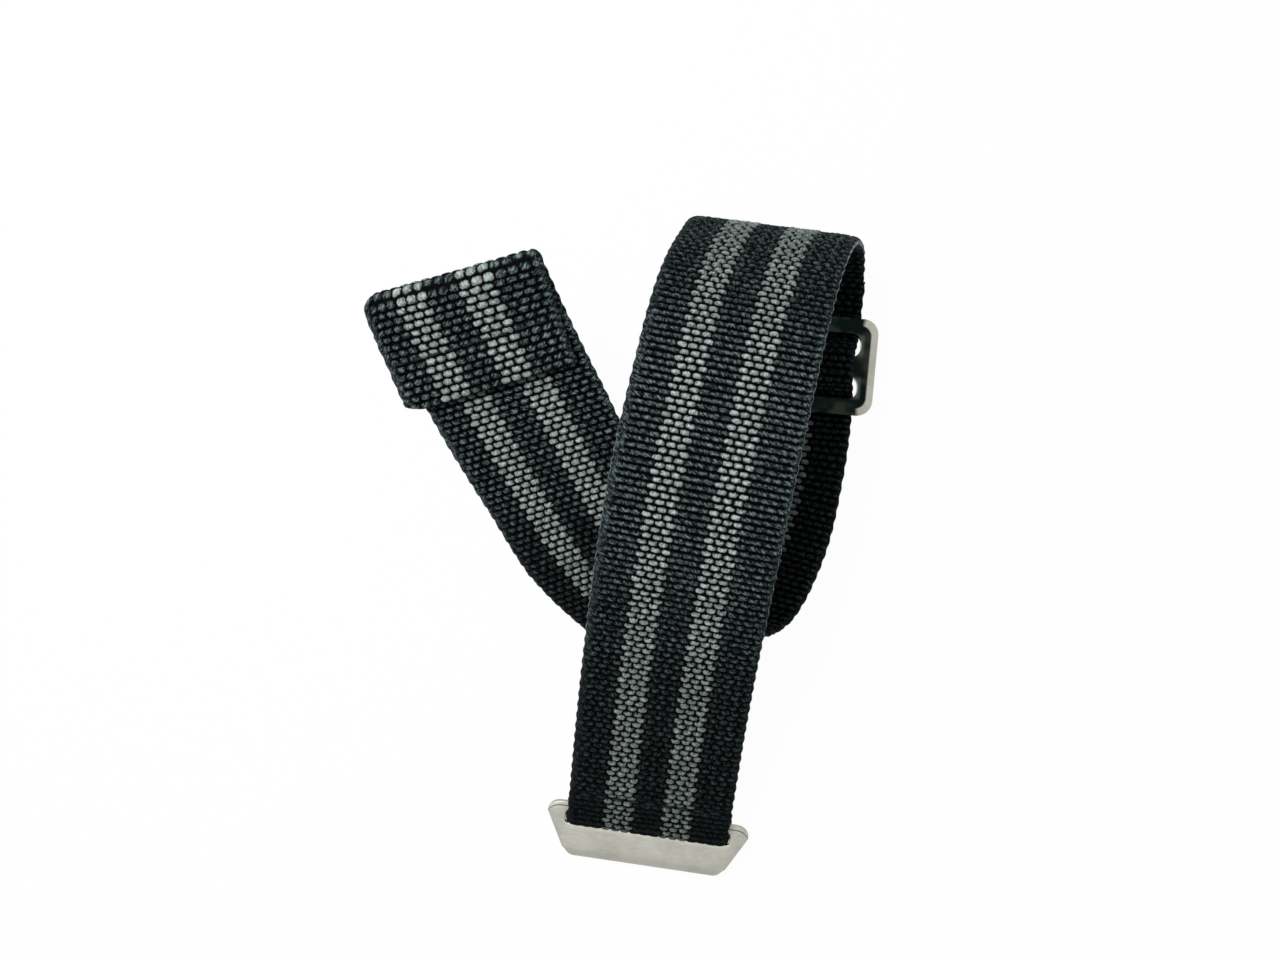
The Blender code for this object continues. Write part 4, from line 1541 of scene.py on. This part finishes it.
    def build(self, steel: bpy.types.Material) -> bpy.types.Object:
        """Round the sheet's edges, put it in its place and hand it to its body."""
        sizes = self.sizes
        bm = self.sheet()
        corners = [
            edge
            for edge in bm.edges
            if edge.calc_face_angle(0.0) > 1.0
            and abs(abs(edge.verts[0].co.x) - sizes.slot_width / 2) < 2 * HAIR
            and abs(edge.verts[0].co.z - edge.verts[1].co.z) > 0.5 * sizes.sheet
            and edge.verts[0].co.y < self.slot_end
        ]
        bevel(bm, corners, sizes.slot_corner, 4)
        rim = [
            edge
            for edge in bm.edges
            if len(edge.link_faces) == 2
            and edge.calc_face_angle(0.0) > math.radians(62)
            and abs(edge.verts[0].co.z - edge.verts[1].co.z) < 0.6 * sizes.sheet
        ]
        bevel(bm, rim, sizes.rounding, 3)
        layer = bm.loops.layers.uv.new("plate")
        for vert in bm.verts:
            for loop in vert.link_loops:
                loop[layer].uv = (vert.co.x / MM, (vert.co.y + sizes.bar / 2) / MM)
        bmesh.ops.transform(bm, matrix=self.frame(), verts=bm.verts)
        bmesh.ops.recalc_face_normals(bm, faces=bm.faces)
        piece = finished(bm, "hook_sheet", steel)
        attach(piece, "hook")
        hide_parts("hook_plate")
        return piece


@dataclass
class Stitching:
    """A seam of separate thread stitches across the webbing.

    Attributes:
        name: The piece's name.
        place: Gives a point for a place across, along and outward.
        body: The body that it rides on.
        node: The CAD node that it stands for.
        rows: Each row's distance along the webbing and its level above the middle layer.
    """

    name: str
    place: Place
    body: str
    node: str
    rows: tuple[tuple[float, float], ...]
    pitch: float = 2.0 * MM
    length: float = 1.5 * MM
    radius: float = 0.15 * MM
    count: int = 9

    def build(self, thread: bpy.types.Material) -> bpy.types.Object:
        """Make the stitches and hand them to their body."""
        bm = bmesh.new()
        for distance, level in self.rows:
            for index in range(self.count):
                middle = (index - (self.count - 1) / 2) * self.pitch
                self._stitch(bm, middle, distance, level)
        piece = finished(bm, self.name, thread)
        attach(piece, self.body)
        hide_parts(self.node)
        return piece

    def _stitch(self, bm: bmesh.types.BMesh, middle: float, distance: float, level: float) -> None:
        """Add one stitch, which tapers into the webbing at both ends."""
        across = np.array([middle - self.length / 2, middle, middle + self.length / 2])
        ends = self.place(across, np.full(3, distance), np.full(3, level))
        left, centre, right = (Vector(point) for point in ends)
        turn = Vector((1.0, 0.0, 0.0)).rotation_difference((right - left).normalized())
        size = Matrix.Diagonal((self.length / 2, self.radius, self.radius, 1.0))
        matrix = Matrix.Translation(centre) @ turn.to_matrix().to_4x4() @ size
        bmesh.ops.create_uvsphere(bm, u_segments=8, v_segments=6, radius=1.0, matrix=matrix)


@dataclass
class Strap:
    """The whole woven webbing as bands that meet on a row of the weave.

    Attributes:
        path: The paths that the bands follow.
        stitch_depth: How deep the stitches lie in the webbing's face.
    """

    path: WebbingPath
    stitch_depth: float = 0.14 * MM

    def row(self, distance: float) -> int:
        """The nearest row boundary to a distance along the webbing, in millimetres."""
        return round(distance * MM / WEBBING.row)

    def point(self, distance: float) -> tuple[float, float, float]:
        """A point of the main route, at a distance in millimetres."""
        where, _ = self.path.main.frame(distance * MM)
        return tuple(float(value) for value in where)

    def bands(self) -> list[WovenBand]:
        """Every band from the hook on, each of which starts where the one before it ends."""
        path, row = self.path, WEBBING.row
        front, rear = path.front_place, path.rear_place
        wave_start, wave_end, extra = (
            size / MM for size in (path.wave_start, path.wave_end, path.extra)
        )
        crest, top_front, top_crown, top_rear = mark(6), mark(9), mark(10), mark(11)
        low_rear, low, low_tail = mark(16), mark(17), mark(18)
        bar_turn = TightBend(LOOP.bar_turn[0] / row, LOOP.bar_turn[1] / row, 0.6)
        fold_turn_end = path.fold_line + math.pi * path.fold_radius
        fold_turn = TightBend(path.fold_line / row, fold_turn_end / row, 0.55)
        under = Seam((path.fold_line - FOLD.seam) / row)
        over = Seam(path.folded(FOLD.seam) / row, FOLD.seam_depth)
        return [
            WovenBand(
                "webbing_hook_end",
                path.hook_place,
                self.row(27.0),
                "front_run_lower",
                ("hook_loop",),
                (Seam(LOOP.seam / row, LOOP.seam_depth),),
                (bar_turn,),
            ),
            WovenBand(
                "webbing_crest",
                front,
                self.row(67.0),
                Crossing("front_run_lower", "front_run_upper", crest - 5.0, crest + 5.0),
                ("front_run_lower", "front_run_upper"),
            ),
            WovenBand(
                "webbing_top",
                front,
                self.row(85.6),
                Crossing("front_run_upper", "top_curl_front", top_front - 3.0, top_front + 3.0),
                ("top_curl_front",),
            ),
            WovenBand(
                "webbing_crown",
                front,
                self.row(92.6),
                Crossing("top_curl_front", "top_curl_rear", top_crown - 1.8, top_crown + 1.8),
            ),
            WovenBand(
                "webbing_foot",
                front,
                self.row(98.3),
                Crossing("top_curl_rear", "rear_run", top_rear - 1.8, top_rear + 1.8),
                ("top_curl_rear", "rear_run_upper"),
            ),
            WovenBand(
                "webbing_above_slider",
                path.slider_place,
                self.row(wave_start - 0.2),
                Crossing("rear_run", "slider", 99.1, wave_start - 0.4),
            ),
            WovenBand(
                "webbing_in_slider",
                path.slider_place,
                self.row(wave_end + extra + 0.2),
                "slider",
                ("slider_wave",),
            ),
            WovenBand(
                "webbing_below_slider",
                path.slider_place,
                self.row(128.9 + extra),
                Crossing("slider", "rear_run", wave_end + 0.4, 126.0),
                ("rear_run_lower",),
            ),
            WovenBand(
                "webbing_low_rear",
                rear,
                self.row(143.1 + extra),
                Crossing("rear_run", "bottom_curl_rear", low_rear - 2.0, low_rear + 2.0),
                ("bottom_curl_rear",),
            ),
            WovenBand(
                "webbing_low",
                rear,
                self.row(150.6 + extra),
                Crossing("bottom_curl_rear", "bottom_curl_tail", low - 1.8, low + 1.8),
                ("bottom_curl_tail",),
            ),
            WovenBand(
                "webbing_climb",
                rear,
                self.row(168.0 + extra),
                Crossing("bottom_curl_tail", "tail_run", low_tail - 2.0, low_tail + 2.4),
            ),
            WovenBand(
                "webbing_tail",
                rear,
                self.row(184.3 + extra),
                Crossing("tail_run", "tail_end", 170.0, 182.4),
                ("tail_run",),
            ),
            WovenBand(
                "webbing_tail_fold",
                rear,
                math.floor(path.folded(FOLD.layer) / row),
                "tail_end",
                ("tail_fold",),
                (under, over),
                (fold_turn,),
            ),
        ]

    def build(self, elastic: bpy.types.Material) -> None:
        """Make every band; one on a body is handed to it, and one that crosses a joint stays
        unattached.
        """
        first = -math.floor(self.path.loop.marks[-1] / WEBBING.row)
        for band in self.bands():
            piece = band.build(first, elastic)
            holder = band.holder
            if isinstance(holder, Crossing):
                start, end = self.point(holder.start), self.point(holder.end)
                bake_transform(piece)
            else:
                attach(piece, holder)
            if band.replaces:
                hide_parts(*band.replaces)
            faces = len(piece.data.polygons)
            LOG.info("%s: rows %d to %d, %d faces", band.name, first, band.last, faces)
            first = band.last

    def stitching(self, thread: bpy.types.Material) -> None:
        """Make the seams of the hook end and the tail fold."""
        path = self.path
        face = WEBBING.thickness / 2 - self.stitch_depth
        hook_rows = ((LOOP.seam, face), (-LOOP.seam_under, face))
        tail_rows = ((path.folded(FOLD.seam), -face), (path.fold_line - FOLD.seam, -face))
        for seam in (
            Stitching(
                "hook_end_stitches",
                path.hook_place,
                "front_run_lower",
                "hook_end_stitching",
                hook_rows,
            ),
            Stitching(
                "tail_fold_stitches",
                path.rear_place,
                "tail_end",
                "tail_fold_stitching",
                tail_rows,
            ),
        ):
            seam.build(thread)
            LOG.info("%s: %d stitches", seam.name, seam.count * len(seam.rows))


@dataclass(frozen=True)
class Studio:
    """Floor, soft light, white background and the photograph's camera, in metres and watts."""

    camera_at: tuple[float, float, float] = (-15.433 * MM, -9.074 * MM, 188.1 * MM)
    image_up: tuple[float, float, float] = (-0.0931, 0.9957, 0.0)
    lens: float = 42.06
    sensor: float = 36.0
    seen: tuple[float, float] = (0.01, 10.0)
    floor_size: float = 2.0
    floor_level: float = CAD_BOX[0][2] - 2 * HAIR
    floor_colour: Colour = (0.9, 0.9, 0.9, 1.0)
    floor_glow: float = 0.97
    world_strength: float = 0.22
    lamp_at: tuple[float, float, float] = (-0.11, 0.06, 0.29)
    lamp_size: float = 0.11
    lamp_power: float = 0.90

    def build(self) -> None:
        """Make everything that isn't the strap."""
        self._camera()
        self._floor()
        self._world()
        self._lamp()

    def _camera(self) -> None:
        """The camera, straight above and turned as the photograph is."""
        data = bpy.data.cameras.new("camera")
        data.lens, data.sensor_width = self.lens, self.sensor
        data.clip_start, data.clip_end = self.seen
        item = bpy.data.objects.new("camera", data)
        upward = Vector(self.image_up).normalized()
        back = Vector((0.0, 0.0, 1.0))
        side = upward.cross(back).normalized()
        turned = Matrix((side, back.cross(side), back)).transposed().to_4x4()
        item.matrix_world = Matrix.Translation(Vector(self.camera_at)) @ turned
        bpy.context.scene.collection.objects.link(item)
        bpy.context.scene.camera = item

    def _direct(self, wiring: Wiring) -> Value:
        """Whether a ray comes from the camera, a mirror or glass."""
        node = wiring.node("ShaderNodeLightPath")
        names = ("Is Camera Ray", "Is Glossy Ray", "Is Transmission Ray")
        camera, glossy, through = (Value(wiring, node.outputs[name]) for name in names)
        return camera.math("MAXIMUM", glossy).math("MAXIMUM", through)

    def _floor(self) -> None:
        """A plain white floor that keeps a faint shadow."""
        bm = bmesh.new()
        bmesh.ops.create_grid(bm, x_segments=1, y_segments=1, size=self.floor_size)
        bmesh.ops.translate(bm, verts=bm.verts, vec=(0.0, 0.0, self.floor_level))
        material, wiring, shader = new_material("floor_white")
        wiring.put(shader.inputs["Base Color"], self.floor_colour)
        wiring.put(shader.inputs["Roughness"], 1.0)
        wiring.put(shader.inputs["Specular IOR Level"], 0.0)
        share = self._direct(wiring) * self.floor_glow
        lit, glow = Value(wiring, shader.outputs[0]), wiring.value("ShaderNodeEmission")
        mix = wiring.value("ShaderNodeMixShader", {0: share, 1: lit, 2: glow})
        wiring.put(material.node_tree.nodes["Material Output"].inputs["Surface"], mix)
        floor = finished(bm, "floor", material)
        floor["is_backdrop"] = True

    def _world(self) -> None:
        """White to the camera and softer as a light."""
        world = bpy.data.worlds.new("studio")
        world.use_nodes = True
        bpy.context.scene.world = world
        wiring = Wiring(world.node_tree)
        background = world.node_tree.nodes["Background"]
        wiring.put(background.inputs["Color"], (1.0, 1.0, 1.0, 1.0))
        strength = self._direct(wiring) * (1.0 - self.world_strength) + self.world_strength
        wiring.put(background.inputs["Strength"], strength)

    def _lamp(self) -> None:
        """A large soft lamp that points at the strap."""
        data = bpy.data.lights.new("key_lamp", "AREA")
        data.shape = "DISK"
        data.size, data.energy = self.lamp_size, self.lamp_power
        item = bpy.data.objects.new("key_lamp", data)
        item.location = self.lamp_at
        item.rotation_mode = "QUATERNION"
        item.rotation_quaternion = (-Vector(self.lamp_at)).to_track_quat("-Z", "Y")
        bpy.context.scene.collection.objects.link(item)


def main() -> None:
    """Build the strap, its fittings and the studio."""
    logging.basicConfig(level=logging.INFO, format="%(name)s: %(message)s")
    bpy.context.scene.view_settings.view_transform = "Standard"
    effects = Effects()
    elastic = WebbingFinish().make(effects)
    thread = ThreadFinish().make(effects)
    # The hook plate gets a thin painted shade line beside its wide edge.
    hook_steel = SteelFinish("hook_steel_satin", shade_line=HOOK).make(effects)
    # The slider's flat face is painted in shade; only its rounded sides stay lit steel.
    slider_steel = SteelFinish(
        "slider_steel_painted_shade",
        roughness=(0.2, 0.32),
        dark=(0.004, 0.007, 0.007, 1.0),
        rim=SLIDER,
    ).make(effects)
    path = WebbingPath()
    strap = Strap(path)
    strap.build(elastic)
    strap.stitching(thread)
    Slider().build(slider_steel)
    HookPlate(path).build(hook_steel)
    LOG.info("slider and hook plate built")
    Studio().build()


if __name__ == "__main__":
    main()
